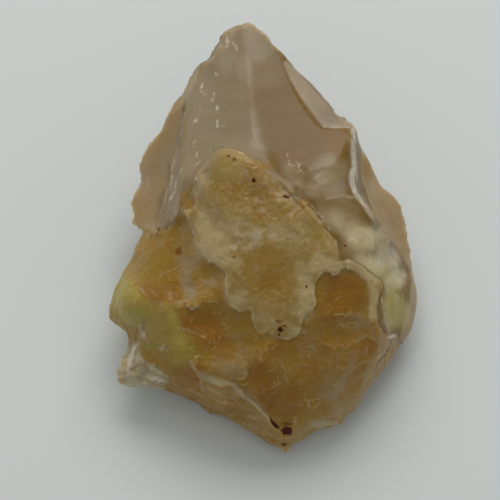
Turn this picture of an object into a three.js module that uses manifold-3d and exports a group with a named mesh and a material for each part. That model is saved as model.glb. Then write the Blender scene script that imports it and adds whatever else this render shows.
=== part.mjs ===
// A hand specimen of rough dendritic agate: one broken lump of translucent chalcedony with a pointed end,
// smooth faces round the point, and a scalloped yellow rind on the lower half.
//
// The stone is drawn in its own face frame, in millimetres: +X to the right, +Y towards the point, and +Z
// out of the broad rind face. It is then leaned back onto the flat break that it rests on, and centred.
import * as THREE from "three";
import { mergeVertices } from "three/addons/utils/BufferGeometryUtils.js";
import Module from "manifold-3d";

const wasm = await Module();
wasm.setup();

const lean = THREE.MathUtils.degToRad(20); // how far the rind face leans back from facing straight up
const restDepth = 17; // from the face frame's origin down to the table, square to the table
const rimThickness = 1.2; // of the thin edge all round, where the two skins meet
const gridStep = 1.75; // spacing of the points that fill the upper skin
const lineStep = 1.3; // spacing of the points along a broken edge
const closest = 0.55; // points nearer than this to an earlier one are left out
const softest = 3.5; // how far a hard corner of the survey is rounded off, away from the sharp lines
const rindRise = 1.1; // how far the rind stands above the bare faces beside it
const rindWall = 0.7; // width of the little cliff at the rind's edge
const unevenRise = 0.3; // height of the rind's gentle unevenness
const farAway = 80; // past the stone, in any direction
const slack = 1e-6; // so that a point on a triangle's side counts as within it

// ---- the survey: lines and spots on the stone ----

// The rim, where the upper skin meets the underside, clockwise from the point.
const rim = [
  [-2.6, 43.8, -2], [-1.2, 43.4, -2.2], [1.2, 41.2, -1.5], [2.2, 39.6, -1], [4.2, 37.8, -1], [8, 34, -1],
  [11.2, 30.2, -1], [12.6, 28.4, -1], [14.6, 26.6, -1], [15.2, 25.4, -1], [18, 24, 0], [19, 22.4, 0],
  [19.8, 20.6, -1], [20.2, 18.8, -4], [22, 16, -6], [23.6, 12.4, -7], [24.2, 11, -7.4], [26.6, 9, -8],
  [28.2, 6.6, -8.4], [29.4, 3, -8.2], [29.8, -2, -8], [30.2, -6.4, -7], [31, -10, -6], [31.6, -13.2, -6],
  [30.6, -17.6, -5], [29, -20, -4], [26.4, -23, -3], [24.6, -25.6, -2], [22.8, -28.2, -1.5],
  [21.2, -30.6, -1], [20, -33, -1], [17.8, -34.8, -1], [16.2, -37, -1], [14.2, -37.6, -1],
  [11.6, -37.8, -1], [9.6, -39.4, -1], [7.6, -40.6, -1], [6.4, -40.8, -0.5], [5.2, -43, 0],
  [3.8, -41.4, -0.5], [1, -40.2, -1], [-3, -38, -2], [-6.4, -35, -3], [-10, -34, -4], [-14, -32.2, -4],
  [-17.6, -30.6, -3.5], [-22, -29.4, -2], [-26, -29.6, -0.5], [-28.4, -28.8, 0], [-28.8, -27.2, 0],
  [-27.8, -23.6, -1], [-26.2, -20.6, -1], [-26.8, -18.4, -1.5], [-28.8, -17, -2], [-30.2, -15.6, -2],
  [-30.2, -12.6, -2], [-29.2, -9.6, -2], [-27.8, -6.6, -2.5], [-25.8, -4.4, -3], [-25.2, -1.8, -3.5],
  [-24.2, 0.4, -4], [-23, 1.8, -4], [-25, 2.6, -6.5], [-25.8, 3.6, -7], [-25.6, 7.4, -7], [-24.2, 12, -7],
  [-24.4, 14, -7], [-23.6, 16.4, -7], [-21.6, 19.4, -7], [-19.6, 22.6, -7], [-18.4, 26, -6.5],
  [-16.8, 28.6, -6], [-15.8, 29.2, -6], [-14, 32.6, -5], [-12.4, 35.4, -4.5], [-10.8, 36, -4],
  [-9.2, 38.2, -3.5], [-8, 39.8, -3], [-6.2, 42, -2.5], [-4.2, 43.2, -2.2],
];

// Lines that stay sharp, each at the top or the foot of a steep side.
const sharpLines = {
  leftShoulder: [
    [-7, 39, 1], [-10, 35, 2.4], [-12, 30, 4], [-13.4, 24, 6], [-14.4, 19, 7.6], [-15.6, 13, 8.6],
    [-16.6, 7, 8.6], [-17.6, 2.6, 7.6],
  ],
  leftFoot: [
    [-13.2, 32, -1.8], [-15, 26, -1.2], [-17, 19, -0.6], [-18.6, 12, -0.8], [-20, 6.4, -0.6],
    [-21, 3, -0.4],
  ],
  bruisedLip: [
    [18.2, 21, 6.2], [18, 16, 7.6], [18.6, 13, 8], [18, 10.4, 8.8], [19.2, 8.4, 8.6], [21.2, 6, 8],
    [23.2, 3.6, 6.8], [26, -0.6, 4.6], [28.4, -5.6, 1.6], [29.8, -10, -1.5],
  ],
  bruisedFoot: [
    [19.9, 17.4, -1], [20.2, 14, -1.5], [21, 10, -1.6], [22.4, 7, -1.8], [25, 3, -2.2], [27.6, -1.8, -3.4],
    [29.4, -6, -5],
  ],
  toeRidge: [
    [-11, -26.4, 10], [-7.6, -28.4, 10], [-3.4, -30.4, 9.4], [-0.4, -33.6, 8], [2.4, -37, 5.4],
    [4.8, -40, 2.6],
  ],
  toeFoot: [[-14, -30.2, 3], [-11, -31, 2.6], [-7, -33.2, 2.4], [-2, -37, 1]],
};

// Spots on the surfaces between those lines.
const spots = [
  // the point, left well above the faces that are struck off it
  [-3.4, 41, 3], [-3, 38, 6], [-2.4, 34, 8.6], [-1.2, 28, 11.6], [0, 22, 14.2], [1.2, 16, 16],
  [1, 38.4, 3], [4.4, 35.4, 5], [6, 31.6, 8], [9, 27, 9.4], [12.4, 24, 9], [16.4, 23, 6.4], [9, 22, 12.4],
  [13, 19.6, 10.8], [-9, 30, 8], [-9, 23, 10.6], [-6, 17, 13.4],
  // below the right face, to the bruised lip
  [8, 15, 14], [14, 15, 10.8], [8, 12, 14.6], [15, 9, 11.6], [12, 7.4, 13.8], [18, 5, 11], [21, 2, 9.4],
  [17, 1, 12.8], [23, -3, 8.4], [26, -7, 5.4], [27, -11, 4], [27.4, -15, 2.4], [26.6, -19, 1.4],
  // the slab past the left foot
  [-20, 17, -2.4], [-22.6, 11, -3.4], [-23.4, 6, -3.6], [-18, 24, -3.6],
  // the rind's broad face
  [-7, 17, 11.6], [-12, 11, 10.8], [-13.8, 6, 10.6], [-2, 12, 14], [-6, 8, 13.2], [1, 7, 15.2], [6, 3, 16],
  [-2, 1, 15.6], [-8, 1, 13.8], [2, -4, 16.4], [10, -2, 16], [6, -10, 16.2], [1, -12, 15.8], [-2, -6, 16],
  [-12.6, -1, 12], [-9.6, -5, 13.8], [-6, -11, 14.6], [-1.6, -14.6, 15], [4.4, -19, 14.6], [10.6, -13, 15],
  [11.6, -7, 15.4], [14.6, -7, 14.8], [18.4, -5, 13], [21, -7, 11.4], [23.6, -10, 9],
  // the lower left
  [-20, 0, 6], [-17, -2, 9.4], [-22.6, -5, 5], [-22, -10, 7], [-25.6, -9.6, 5], [-27, -14, 4.4],
  [-23, -15, 7], [-19, -12, 10], [-15, -12.4, 12.4], [-14.4, -7, 11.6], [-19, -6, 8], [-22, -19, 6],
  [-24, -19, 3], [-17, -19, 10.6], [-13, -23, 12], [-16, -26, 8], [-20, -24.6, 5.6], [-24, -23, 4],
  [-26, -26, 2.6], [-23, -27, 2.4], [-18, -28.6, 3.6],
  // the lower right
  [-8, -16, 13.6], [-5, -21, 13.8], [-6, -25.6, 12], [1, -22, 14], [0.4, -28, 12], [5, -33, 8.4],
  [7, -28, 11.6], [12, -20, 14], [17, -17, 13], [21, -13, 11.4], [20, -20, 10], [22.6, -19, 7.6],
  [23.6, -22.6, 4.6], [18, -26, 9], [13, -29, 9.6], [10, -35, 5.6], [14, -34, 4.4], [20.6, -27.6, 4],
  [18, -31.4, 3.6], [7.4, -38, 3],
];

// The rind's upper border, from its left corner over the top to the right; below it all is rind.
const rindBorder = [
  [-18.6, 2], [-15.2, 6], [-12.8, 10], [-11.7, 13.5], [-9.4, 17], [-7, 18.2], [-3, 17], [0.4, 14.6],
  [2.8, 11.2], [5.6, 8.8], [8.6, 7.4], [11, 5.4], [12.7, 2.4], [14.4, -0.4], [16.2, -3.4], [19, -4.2],
  [22, -6.2], [24.2, -8.6], [24, -12], [23.8, -15.6], [25.4, -18.8], [30, -21],
];

// The underside. The rest corners are written a little below the table, and the table cuts them flat.
const belowTable = (y) => -(restDepth + 0.6 + y * Math.sin(lean)) / Math.cos(lean);
const restCorners = [
  [-14, 9], [2, 14], [17, 10], [23, -6], [19, -23], [8, -35], [-7, -30], [-18, -22], [-20, -7],
].map(([x, y]) => [x, y, belowTable(y)]);
const keel = [
  [-4, 32, -14], [9, 26, -16], [-15, 21, -15], [24, 5, -18], [-25, -5, -13], [28, -13, -13], [0, -38, -4],
];

// ---- what broke away ----

// Broken hollows: a sharp edge, the width of the wall under it, how deep the floor is below the survey,
// and the way that the hollow opens, where its floor runs out level.
const hollows = [
  {
    name: "left hollow", opens: [-1, -0.2], depth: 3, wall: 1.2,
    edge: [
      [-15.2, 5.4], [-13.6, 0.6], [-12.6, -1.8], [-10.4, -4.4], [-7.8, -5.6], [-6.8, -8.4], [-7.6, -10],
      [-11, -10.6], [-14.4, -12], [-18, -11.2], [-21.6, -9], [-27, -7], [-27, 0], [-22, 1], [-18.4, 3.4],
    ],
  },
  {
    name: "lower left hollow", opens: [-0.5, -1], depth: 2.4, wall: 1,
    edge: [
      [-17.8, -16], [-15, -12.6], [-12, -13.6], [-9, -12.6], [-6.8, -11.6], [-4, -14], [-1.6, -14.6],
      [-0.4, -17.4], [0.2, -20], [-2, -22.4], [-5, -22.6], [-9, -24.4], [-13, -24], [-16, -22], [-18, -19],
    ],
  },
  {
    name: "right hollow", opens: [-0.2, -1], depth: 2.6, wall: 0.9,
    edge: [
      [11.4, -7], [13.2, -6.6], [14.6, -7.4], [16.2, -5.6], [18.4, -5.4], [21, -7.4], [22.4, -10],
      [22.6, -14], [22.2, -17], [19.6, -18], [15, -17.2], [12, -15], [10.8, -12], [10.8, -9],
    ],
  },
  {
    name: "lower right sweep", opens: [0.6, -1], depth: 1.8, wall: 1.3,
    edge: [
      [1.6, -18.6], [4.4, -19.8], [7.4, -19.2], [8.2, -16.6], [10.6, -14.2], [14, -16.4], [18.4, -18.4],
      [20.4, -20.4], [19.2, -23], [18, -26], [16, -29], [13, -31.4], [9, -31], [6.4, -28.6], [5.4, -25.6],
      [3, -23.6], [0.8, -21.4],
    ],
  },
  {
    name: "dark hollow", opens: [0.7, -1], depth: 1.3, wall: 0.9,
    edge: [
      [-1, -25.4], [1.6, -24.6], [4.6, -25.8], [5.6, -28], [4.8, -30.8], [2, -31.6], [-0.4, -30],
      [-1.8, -27.6],
    ],
  },
  {
    name: "outer hollow", opens: [1, -0.6], depth: 1.1, wall: 0.8,
    edge: [
      [19.4, -19.2], [21.6, -18.8], [23.4, -20.6], [23, -23.6], [21, -25.6], [19.6, -24], [18.8, -21.4],
    ],
  },
  {
    name: "corner hollow", opens: [1, -1], depth: 1, wall: 0.8,
    edge: [
      [18, -26.6], [20.2, -26.2], [21, -28], [19.6, -30.8], [17.8, -32], [16.6, -29.6],
    ],
  },
  {
    name: "toe gully", opens: [1, -0.9], depth: 1.4, wall: 0.9,
    edge: [
      [-3, -30.2], [-0.6, -31.6], [1.8, -34], [4, -37], [6, -38.4], [7.4, -36.4], [6, -33.2], [3, -31.8],
      [0, -30.4],
    ],
  },
  {
    name: "pale scoop", opens: [-0.3, -1], depth: 1, wall: 0.8,
    edge: [
      [-8, -25.6], [-5, -24.6], [-2.4, -24.8], [-2.6, -27.4], [-5, -28.6], [-7.6, -28],
    ],
  },
  {
    name: "olive window", opens: [-1, -0.4], depth: 1.1, wall: 0.6,
    edge: [
      [-14.9, 9.4], [-13.2, 9.2], [-12.6, 7.4], [-13.4, 6], [-15.2, 6.4],
    ],
  },
];

// Soft dishes in the rind's broad face: centre, radii along X and Y, and depth.
const dishes = [
  { centre: [5, -7.2], radii: [6.4, 6.4], depth: 1.5 },
  { centre: [0, 9.4], radii: [6.6, 6], depth: 0.9 },
  { centre: [-3.8, 0.2], radii: [4.4, 3.4], depth: 0.8 },
  { centre: [10, 1.6], radii: [3.4, 3.6], depth: 0.6 },
  { centre: [-9.4, 3], radii: [4, 5], depth: 0.7 },
  { centre: [-9.4, 12.4], radii: [2.6, 4], depth: 0.5 },
  { centre: [6.6, -15.6], radii: [3.4, 3], depth: 0.7 },
  { centre: [-2.4, -11], radii: [3.2, 2.6], depth: 0.6 },
  { centre: [-16, -2.4], radii: [2.2, 2.2], depth: 0.9 },
  { centre: [-12.6, -18.4], radii: [3.6, 3.6], depth: 1 },
  { centre: [-5, -18.4], radii: [3, 3], depth: 0.8 },
  { centre: [16.6, -11.4], radii: [4.4, 4.6], depth: 1 },
  { centre: [13, -24], radii: [4.6, 5], depth: 0.9 },
  { centre: [10.6, -32.4], radii: [1.6, 1.6], depth: 0.7 },
  { centre: [-20.4, -21.6], radii: [2.4, 2.4], depth: 0.8 },
  { centre: [-15.4, -26.4], radii: [3, 2.2], depth: 0.9 },
];

// Rounded rises: centre, radii and height.
const rises = [
  { centre: [-25.6, -11.6], radii: [5, 5.6], height: 2.6 },
  { centre: [-19.4, -21], radii: [2, 2], height: 1 },
  { centre: [-11.4, -11.2], radii: [3.4, 1.6], height: 1 },
  { centre: [21, -3], radii: [5, 6], height: 1 },
  { centre: [26, -14], radii: [2.6, 4.4], height: 1 },
  { centre: [-17.6, -13.4], radii: [2.4, 2], height: 1 },
];

// Areas in the plan that limit where the faces below cut.
const areas = {
  bare: [
    ...smoothLine(rindBorder, false),
    [farAway, -21], [farAway, farAway], [-farAway, farAway], [-farAway, 2],
  ],
  aboveBevelStep: [
    [-10, farAway], [farAway, farAway], [farAway, 22], [19, 22.2], [15.6, 22.7], [12.2, 22.5], [-10, 24],
  ],
  leftSlab: [...sharpLines.leftFoot, [-farAway, 2], [-farAway, farAway], [-13, farAway]],
  rightSlab: [...sharpLines.bruisedFoot, [farAway, -8], [farAway, farAway], [19.9, farAway]],
};

// Smooth faces struck off the blank: three corners that each passes through, its radius of hollowing, how
// far it reaches, and the area that limits it. The last ones are on the underside.
const faces = [
  {
    name: "left of the point", area: "bare", radius: 100, reach: 44,
    corners: [[-3.2, 42.4, -0.4], [0.4, 15, 14.2], [-14.4, 21, 5.4]],
  },
  {
    name: "right of the point", area: "bare", radius: 120, reach: 44,
    corners: [[-3.2, 42.4, -0.4], [3, 12, 14.8], [12.4, 22.4, 7.4]],
  },
  {
    name: "bevel", area: "aboveBevelStep", radius: 45, reach: 18,
    corners: [[3.8, 35.6, 2], [12.6, 22.4, 6.6], [15.2, 25.8, -0.4]],
  },
  {
    name: "left slab", area: "leftSlab", radius: 60, reach: 30,
    corners: [[-15, 26, -2.2], [-20.6, 4, -1.4], [-25, 9, -6.2]],
  },
  {
    name: "right slab", area: "rightSlab", radius: 60, reach: 30,
    corners: [[20.6, 15, -2], [27, -1, -3.6], [28, 6, -7.4]],
  },
  {
    name: "back left", side: -1, radius: 90, reach: 30,
    corners: [[-10, 38, -5.4], [-14.6, 9.4, -21.4], [-20, 22, -10]],
  },
  {
    name: "back", side: -1, radius: 110, reach: 34,
    corners: [[-4, 42, -5.4], [3, 14.6, -23.8], [-12, 11, -22.6]],
  },
  {
    name: "back right", side: -1, radius: 90, reach: 30,
    corners: [[4, 37, -5], [4, 14.4, -23.8], [17, 10.6, -22.6]],
  },
  {
    name: "under the right slab", side: -1, radius: 60, reach: 18,
    corners: [[24, 11, -11], [22.6, -6, -19], [30, -6, -9.6]],
  },
  {
    name: "under the left hollow", side: -1, radius: 50, reach: 16,
    corners: [[-21, 8, -17], [-19, -12, -16], [-27.4, -4, -7]],
  },
];

// Angular broken ends: three glassy ones at the lower left corner, and the tip of the toe.
const brokenEnds = [
  { centre: [-26, -25.8, 1.6], radii: [2.4, 3, 2.2], turn: [0.3, 0.5, 0.2] },
  { centre: [-22.4, -27.4, 1.6], radii: [3, 1.8, 2.2], turn: [0.9, 0.1, 0.6] },
  { centre: [-23.4, -23.6, 3.4], radii: [2.2, 1.5, 1.6], turn: [0.2, 1.1, 0.4] },
  { centre: [5, -41, -0.4], radii: [1.5, 1.9, 1.3], turn: [0.1, 0.2, 0.5] },
];

// ---- plane geometry ----

const dot = ([x1, y1], [x2, y2]) => x1 * x2 + y1 * y2;

const distance = ([x1, y1], [x2, y2]) => Math.hypot(x2 - x1, y2 - y1);

function distanceToSegment([x, y], [x1, y1], [x2, y2]) {
  const [dx, dy] = [x2 - x1, y2 - y1];
  const along = ((x - x1) * dx + (y - y1) * dy) / (dx * dx + dy * dy || 1);
  const t = Math.min(1, Math.max(0, along));
  return Math.hypot(x - x1 - t * dx, y - y1 - t * dy);
}

function distanceToLine(point, line) {
  return Math.min(...line.slice(1).map((end, i) => distanceToSegment(point, line[i], end)));
}

function inside([x, y], outline) {
  let within = false;
  outline.forEach(([x1, y1], i) => {
    const [x2, y2] = outline[(i + 1) % outline.length];
    if (y1 > y !== y2 > y && x < x1 + ((y - y1) * (x2 - x1)) / (y2 - y1)) within = !within;
  });
  return within;
}

// Points about every lineStep along the straight stretches of a line.
function alongLine(line) {
  return line.slice(1).flatMap(([x2, y2], i) => {
    const [x1, y1] = line[i];
    const count = Math.max(1, Math.round(distance(line[i], [x2, y2]) / lineStep));
    const step = [(x2 - x1) / count, (y2 - y1) / count];
    return Array.from({ length: count }, (_, k) => [x1 + k * step[0], y1 + k * step[1]]);
  });
}

// A smooth line through points, with a point about every lineStep.
function smoothLine(points, closed) {
  const curve = new THREE.CatmullRomCurve3(points.map(([x, y]) => new THREE.Vector3(x, y, 0)), closed);
  const count = Math.round(curve.getLength() / lineStep);
  return curve.getSpacedPoints(count).slice(closed ? 1 : 0).map((p) => [p.x, p.y]);
}

// The points of a closed outline moved inwards.
function inset(outline, by) {
  const next = (i) => outline[(i + 1) % outline.length];
  const area = outline.reduce((sum, [x, y], i) => sum + x * next(i)[1] - next(i)[0] * y, 0);
  return outline.map(([x, y], i) => {
    const before = outline.at(i - 1);
    const length = distance(before, next(i)) * Math.sign(area);
    return [x - ((next(i)[1] - before[1]) / length) * by, y + ((next(i)[0] - before[0]) / length) * by];
  });
}

// Delaunay triangles of points in XY, by adding one point at a time.
function delaunay(points) {
  const all = [...points, [-1000, -1000], [1000, -1000], [0, 1000]];
  const n = points.length;
  let triangles = [[n, n + 1, n + 2]];
  for (let i = 0; i < n; i++) {
    const open = new Set(triangles.filter((t) => inCircle(all, t, all[i])));
    const edges = [...open].flatMap(([a, b, c]) => [[a, b], [b, c], [c, a]]);
    const border = edges.filter(([a, b]) => !edges.some(([c, d]) => c === b && d === a));
    triangles = triangles.filter((t) => !open.has(t)).concat(border.map(([a, b]) => [a, b, i]));
  }
  return triangles.filter((t) => t.every((v) => v < n));
}

function inCircle(points, [a, b, c], [px, py]) {
  const [ax, ay] = [points[a][0] - px, points[a][1] - py];
  const [bx, by] = [points[b][0] - px, points[b][1] - py];
  const [cx, cy] = [points[c][0] - px, points[c][1] - py];
  const [a2, b2, c2] = [ax * ax + ay * ay, bx * bx + by * by, cx * cx + cy * cy];
  return ax * (by * c2 - b2 * cy) - ay * (bx * c2 - b2 * cx) + a2 * (bx * cy - by * cx) > 0;
}

// Triangles over points that start with the rim, kept where they lie inside it.
function trianglesWithinRim(points) {
  const middle = (t, k) => (points[t[0]][k] + points[t[1]][k] + points[t[2]][k]) / 3;
  return delaunay(points).filter((t) => inside([middle(t, 0), middle(t, 1)], rim));
}

// ---- the upper skin's height ----

const surveyPoints = [...rim, ...Object.values(sharpLines).flat(), ...spots];
const surveyTriangles = trianglesWithinRim(surveyPoints).map((t) => t.map((v) => surveyPoints[v]));
const closedRim = [...rim, rim[0]];
const allSharpLines = [closedRim, ...Object.values(sharpLines)];
const rindLine = smoothLine(rindBorder, false);
const rindArea = [...rindLine, [farAway, -farAway], [-farAway, -farAway], [-farAway, 0]];
const hollowShapes = hollows.map((hollow) => {
  const outline = smoothLine(hollow.edge, true);
  const along = outline.map((place) => dot(place, hollow.opens));
  return { ...hollow, outline, near: Math.min(...along), far: Math.max(...along) };
});

// The height on the survey's flat triangles.
function surveyHeight([x, y]) {
  for (const [a, b, c] of surveyTriangles) {
    const area = (b[0] - a[0]) * (c[1] - a[1]) - (c[0] - a[0]) * (b[1] - a[1]);
    const toB = ((x - a[0]) * (c[1] - a[1]) - (c[0] - a[0]) * (y - a[1])) / area;
    const toC = ((b[0] - a[0]) * (y - a[1]) - (x - a[0]) * (b[1] - a[1])) / area;
    const within = toB > -slack && toC > -slack && toB + toC < 1 + slack;
    if (within) return a[2] + toB * (b[2] - a[2]) + toC * (c[2] - a[2]);
  }
  return NaN;
}

// The same, averaged round the point, over less and less as a sharp line comes near.
function softHeight(point) {
  const toSharpLine = Math.min(...allSharpLines.map((line) => distanceToLine(point, line)));
  const reach = Math.min(softest, 0.6 * toSharpLine);
  const heights = [surveyHeight(point)];
  for (const [radius, count] of [[0.5, 6], [1, 12]]) {
    for (let i = 0; i < count; i++) {
      const angle = (2 * Math.PI * i) / count;
      const away = reach * radius;
      heights.push(surveyHeight([point[0] + away * Math.cos(angle), point[1] + away * Math.sin(angle)]));
    }
  }
  const known = heights.filter((height) => !Number.isNaN(height));
  return known.reduce((sum, height) => sum + height, 0) / known.length;
}

// A wall that starts at a sharp edge and runs out round into a floor.
const wallProfile = (t) => 1 - (1 - Math.min(1, t)) ** 2;

// A soft mound or dish over an ellipse.
function mound([x, y], { centre, radii }) {
  const t = Math.hypot((x - centre[0]) / radii[0], (y - centre[1]) / radii[1]);
  return t < 1 ? (1 - t * t) ** 2 : 0;
}

// Smooth unevenness from a few crossed waves, between -1 and 1.
function unevenness([x, y]) {
  const waves = [[0.9, 0.4, 0], [-0.4, 1.1, 1.7], [0.8, -0.9, 0.6], [1.3, 0.6, 2.9], [-1, 1.3, 4.1]];
  return waves.reduce((sum, [kx, ky, phase]) => sum + Math.sin(kx * x + ky * y + phase), 0) / waves.length;
}

function height(point) {
  let z = softHeight(point);
  const nearRim = Math.min(1, distanceToLine(point, closedRim) / 2);
  if (inside(point, rindArea)) {
    z += rindRise * wallProfile(distanceToLine(point, rindLine) / rindWall) * nearRim;
    z += unevenRise * unevenness(point) * nearRim;
  }
  const depths = hollowShapes.map(({ outline, depth, wall, opens, near, far }) => {
    if (!inside(point, outline)) return 0;
    const runOut = THREE.MathUtils.smoothstep(dot(point, opens), near + 0.3 * (far - near), far);
    const width = wall * (1 + 0.6 * unevenness(point));
    return depth * (1 - runOut) * wallProfile(distanceToLine(point, [...outline, outline[0]]) / width);
  });
  z -= Math.max(...depths) * nearRim;
  for (const dish of dishes) z -= dish.depth * mound(point, dish);
  for (const rise of rises) z += rise.height * mound(point, rise) * nearRim;
  return z;
}

// ---- the blank ----

// Places of the upper skin's points: the survey's, rows along every broken edge, and a grid between them.
function upperPlaces() {
  const rows = hollowShapes.flatMap(({ outline, wall }) => [
    ...outline, ...inset(outline, 0.45 * wall), ...inset(outline, wall),
  ]);
  const rindRows = [...rindLine, ...inset(rindArea, rindWall).slice(1, rindLine.length - 1)];
  const grid = [];
  for (let row = -30; row <= 30; row++) {
    for (let column = -22; column <= 22; column++) {
      const [x, y] = [(column + (row % 2) / 2) * gridStep, row * gridStep * 0.87];
      grid.push([x + 0.5 * Math.sin(3 * y + 5 * x), y + 0.5 * Math.sin(4 * x - 7 * y)]);
    }
  }
  const kept = [];
  const add = (places, gap) => {
    for (const place of places) {
      if (inside(place, rim) && clearOfRim(place) && kept.every((other) => distance(place, other) > gap)) {
        kept.push(place);
      }
    }
  };
  add(Object.values(sharpLines).flatMap(alongLine), closest);
  add([...rows, ...rindRows], closest);
  add(grid, 0.62 * gridStep);
  return kept;
}

// Clear of the circle on each stretch of the rim, so that the stretch stays an edge of the triangles.
function clearOfRim(place) {
  return rim.every(([x1, y1], i) => {
    const [x2, y2] = rim[(i + 1) % rim.length];
    return distance(place, [(x1 + x2) / 2, (y1 + y2) / 2]) > 0.5 * distance([x1, y1], [x2, y2]) + 0.1;
  });
}

// Both skins, and the narrow wall between them along the rim.
function blank() {
  const half = rimThickness / 2;
  const top = [...rim.map(([x, y, z]) => [x, y, z + half]), ...upperPlaces().map((p) => [...p, height(p)])];
  const below = [...rim.map(([x, y, z]) => [x, y, z - half]), ...restCorners, ...keel];
  const shift = top.length;
  const upFaces = trianglesWithinRim(top);
  const downFaces = trianglesWithinRim(below).map(([a, b, c]) => [a + shift, c + shift, b + shift]);
  const wallFaces = rim.flatMap((_, i) => {
    const next = (i + 1) % rim.length;
    return [[i, next, next + shift], [i, next + shift, i + shift]];
  });
  const geometry = new THREE.BufferGeometry();
  geometry.setAttribute("position", new THREE.Float32BufferAttribute([...top, ...below].flat(), 3));
  geometry.setIndex([...upFaces, ...downFaces, ...wallFaces].flat());
  return solid(geometry);
}

// ---- cutters and ends ----

// The hollow side of a big ball, as a blow leaves it, open upwards: rings under a straight wall.
function struckFace({ corners, radius, reach, side = 1 }) {
  const [a, b, c] = corners.map((corner) => new THREE.Vector3(...corner));
  const normal = b.clone().sub(a).cross(c.clone().sub(a)).normalize();
  const outward = normal.multiplyScalar(side * Math.sign(normal.z));
  const middle = a.clone().add(b).add(c).divideScalar(3);
  const sag = radius - Math.sqrt(radius ** 2 - middle.distanceToSquared(a));
  const floor = middle.addScaledVector(outward, -sag);
  const widest = Math.asin(reach / radius);
  const profile = [];
  const rings = 9;
  for (let i = 0; i <= rings; i++) {
    const angle = (widest * i) / rings;
    profile.push(new THREE.Vector2(radius * Math.sin(angle), radius * (1 - Math.cos(angle))));
  }
  profile.push(new THREE.Vector2(reach, farAway), new THREE.Vector2(0, farAway));
  const geometry = new THREE.LatheGeometry(profile, 40);
  geometry.applyQuaternion(new THREE.Quaternion().setFromUnitVectors(new THREE.Vector3(0, 1, 0), outward));
  geometry.translate(...floor.toArray());
  return solid(geometry);
}

// Everything over and under an area of the plan.
function column(outline) {
  const shape = new THREE.Shape(outline.map(([x, y]) => new THREE.Vector2(x, y)));
  const geometry = new THREE.ExtrudeGeometry(shape, { depth: 2 * farAway, bevelEnabled: false });
  geometry.translate(0, 0, -farAway);
  return solid(geometry);
}

function brokenEnd({ centre, radii, turn }) {
  const geometry = new THREE.IcosahedronGeometry(1, 0);
  geometry.scale(...radii);
  geometry.applyMatrix4(new THREE.Matrix4().makeRotationFromEuler(new THREE.Euler(...turn)));
  geometry.translate(...centre);
  return solid(geometry);
}

// ---- joining and cutting ----

function solid(geometry) {
  const bare = geometry.clone();
  bare.deleteAttribute("normal");
  bare.deleteAttribute("uv");
  const merged = mergeVertices(bare, 1e-4);
  return new wasm.Manifold(
    new wasm.Mesh({
      numProp: 3,
      vertProperties: merged.attributes.position.array,
      triVerts: new Uint32Array(merged.index.array),
    }),
  );
}

function geometryOf(manifold) {
  const mesh = manifold.getMesh();
  const geometry = new THREE.BufferGeometry();
  geometry.setAttribute("position", new THREE.BufferAttribute(mesh.vertProperties, 3));
  geometry.setIndex(new THREE.BufferAttribute(mesh.triVerts, 1));
  return geometry;
}

// Leans the stone back, and takes off what would stand below the table.
function seated(stone) {
  const geometry = geometryOf(stone);
  geometry.rotateX(lean);
  geometry.translate(0, 0, restDepth);
  const table = new THREE.BoxGeometry(4 * farAway, 4 * farAway, farAway);
  table.translate(0, 0, -farAway / 2);
  return geometryOf(solid(geometry).subtract(solid(table)));
}

let stone = blank();
for (const end of brokenEnds) stone = stone.add(brokenEnd(end));
for (const face of faces) {
  const cutter = struckFace(face);
  stone = stone.subtract(face.area ? cutter.intersect(column(areas[face.area])) : cutter);
}

const shape = seated(stone);
shape.computeBoundingBox();
const centre = shape.boundingBox.getCenter(new THREE.Vector3());

const agate = new THREE.Mesh(
  shape,
  new THREE.MeshStandardMaterial({ color: 0x8a7655, roughness: 0.35, metalness: 0 }),
);
agate.name = "agate";
agate.position.set(-centre.x, -centre.y, 0);

const specimen = new THREE.Group();
specimen.add(agate);
export default specimen;
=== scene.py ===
# A rough specimen of dendritic agate: one broken lump of translucent chalcedony with a pointed end, smooth
# struck faces round the point, and a yellow rind with thin broken ledges on the lower half.
import itertools
import math

import bmesh
import bpy
import numpy as np
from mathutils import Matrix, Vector
from mathutils.bvhtree import BVHTree


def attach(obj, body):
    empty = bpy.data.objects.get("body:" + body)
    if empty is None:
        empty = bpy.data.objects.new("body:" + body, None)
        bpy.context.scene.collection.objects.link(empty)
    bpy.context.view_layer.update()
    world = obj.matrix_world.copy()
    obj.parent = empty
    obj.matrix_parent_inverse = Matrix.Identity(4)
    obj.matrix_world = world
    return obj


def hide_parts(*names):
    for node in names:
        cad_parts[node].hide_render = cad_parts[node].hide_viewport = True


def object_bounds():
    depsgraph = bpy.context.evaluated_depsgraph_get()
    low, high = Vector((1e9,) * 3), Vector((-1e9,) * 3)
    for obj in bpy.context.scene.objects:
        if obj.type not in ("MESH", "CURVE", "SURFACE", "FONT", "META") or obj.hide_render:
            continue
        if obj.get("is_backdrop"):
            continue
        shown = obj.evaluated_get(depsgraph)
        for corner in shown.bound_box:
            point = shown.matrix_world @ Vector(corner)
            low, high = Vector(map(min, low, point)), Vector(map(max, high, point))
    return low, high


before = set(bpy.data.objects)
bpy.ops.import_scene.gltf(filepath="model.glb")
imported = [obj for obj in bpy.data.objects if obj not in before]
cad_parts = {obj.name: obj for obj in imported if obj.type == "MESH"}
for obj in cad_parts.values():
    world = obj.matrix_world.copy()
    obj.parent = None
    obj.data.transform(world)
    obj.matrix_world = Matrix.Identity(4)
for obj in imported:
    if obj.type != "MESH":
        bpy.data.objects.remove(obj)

cadLow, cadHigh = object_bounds()
print("frame loaded")


# The stone's own face frame, in millimetres: X right, Y towards the point, Z out of the rind.
faceFrame = {
    "lean": math.radians(20),  # how far the rind face leans back
    "restDepth": 17.0,         # the face frame's origin above the table
    "centreShift": (-0.7, -0.72),
}
cosLean, sinLean = math.cos(faceFrame["lean"]), math.sin(faceFrame["lean"])
faceOut = np.array([0, -sinLean, cosLean])


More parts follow.
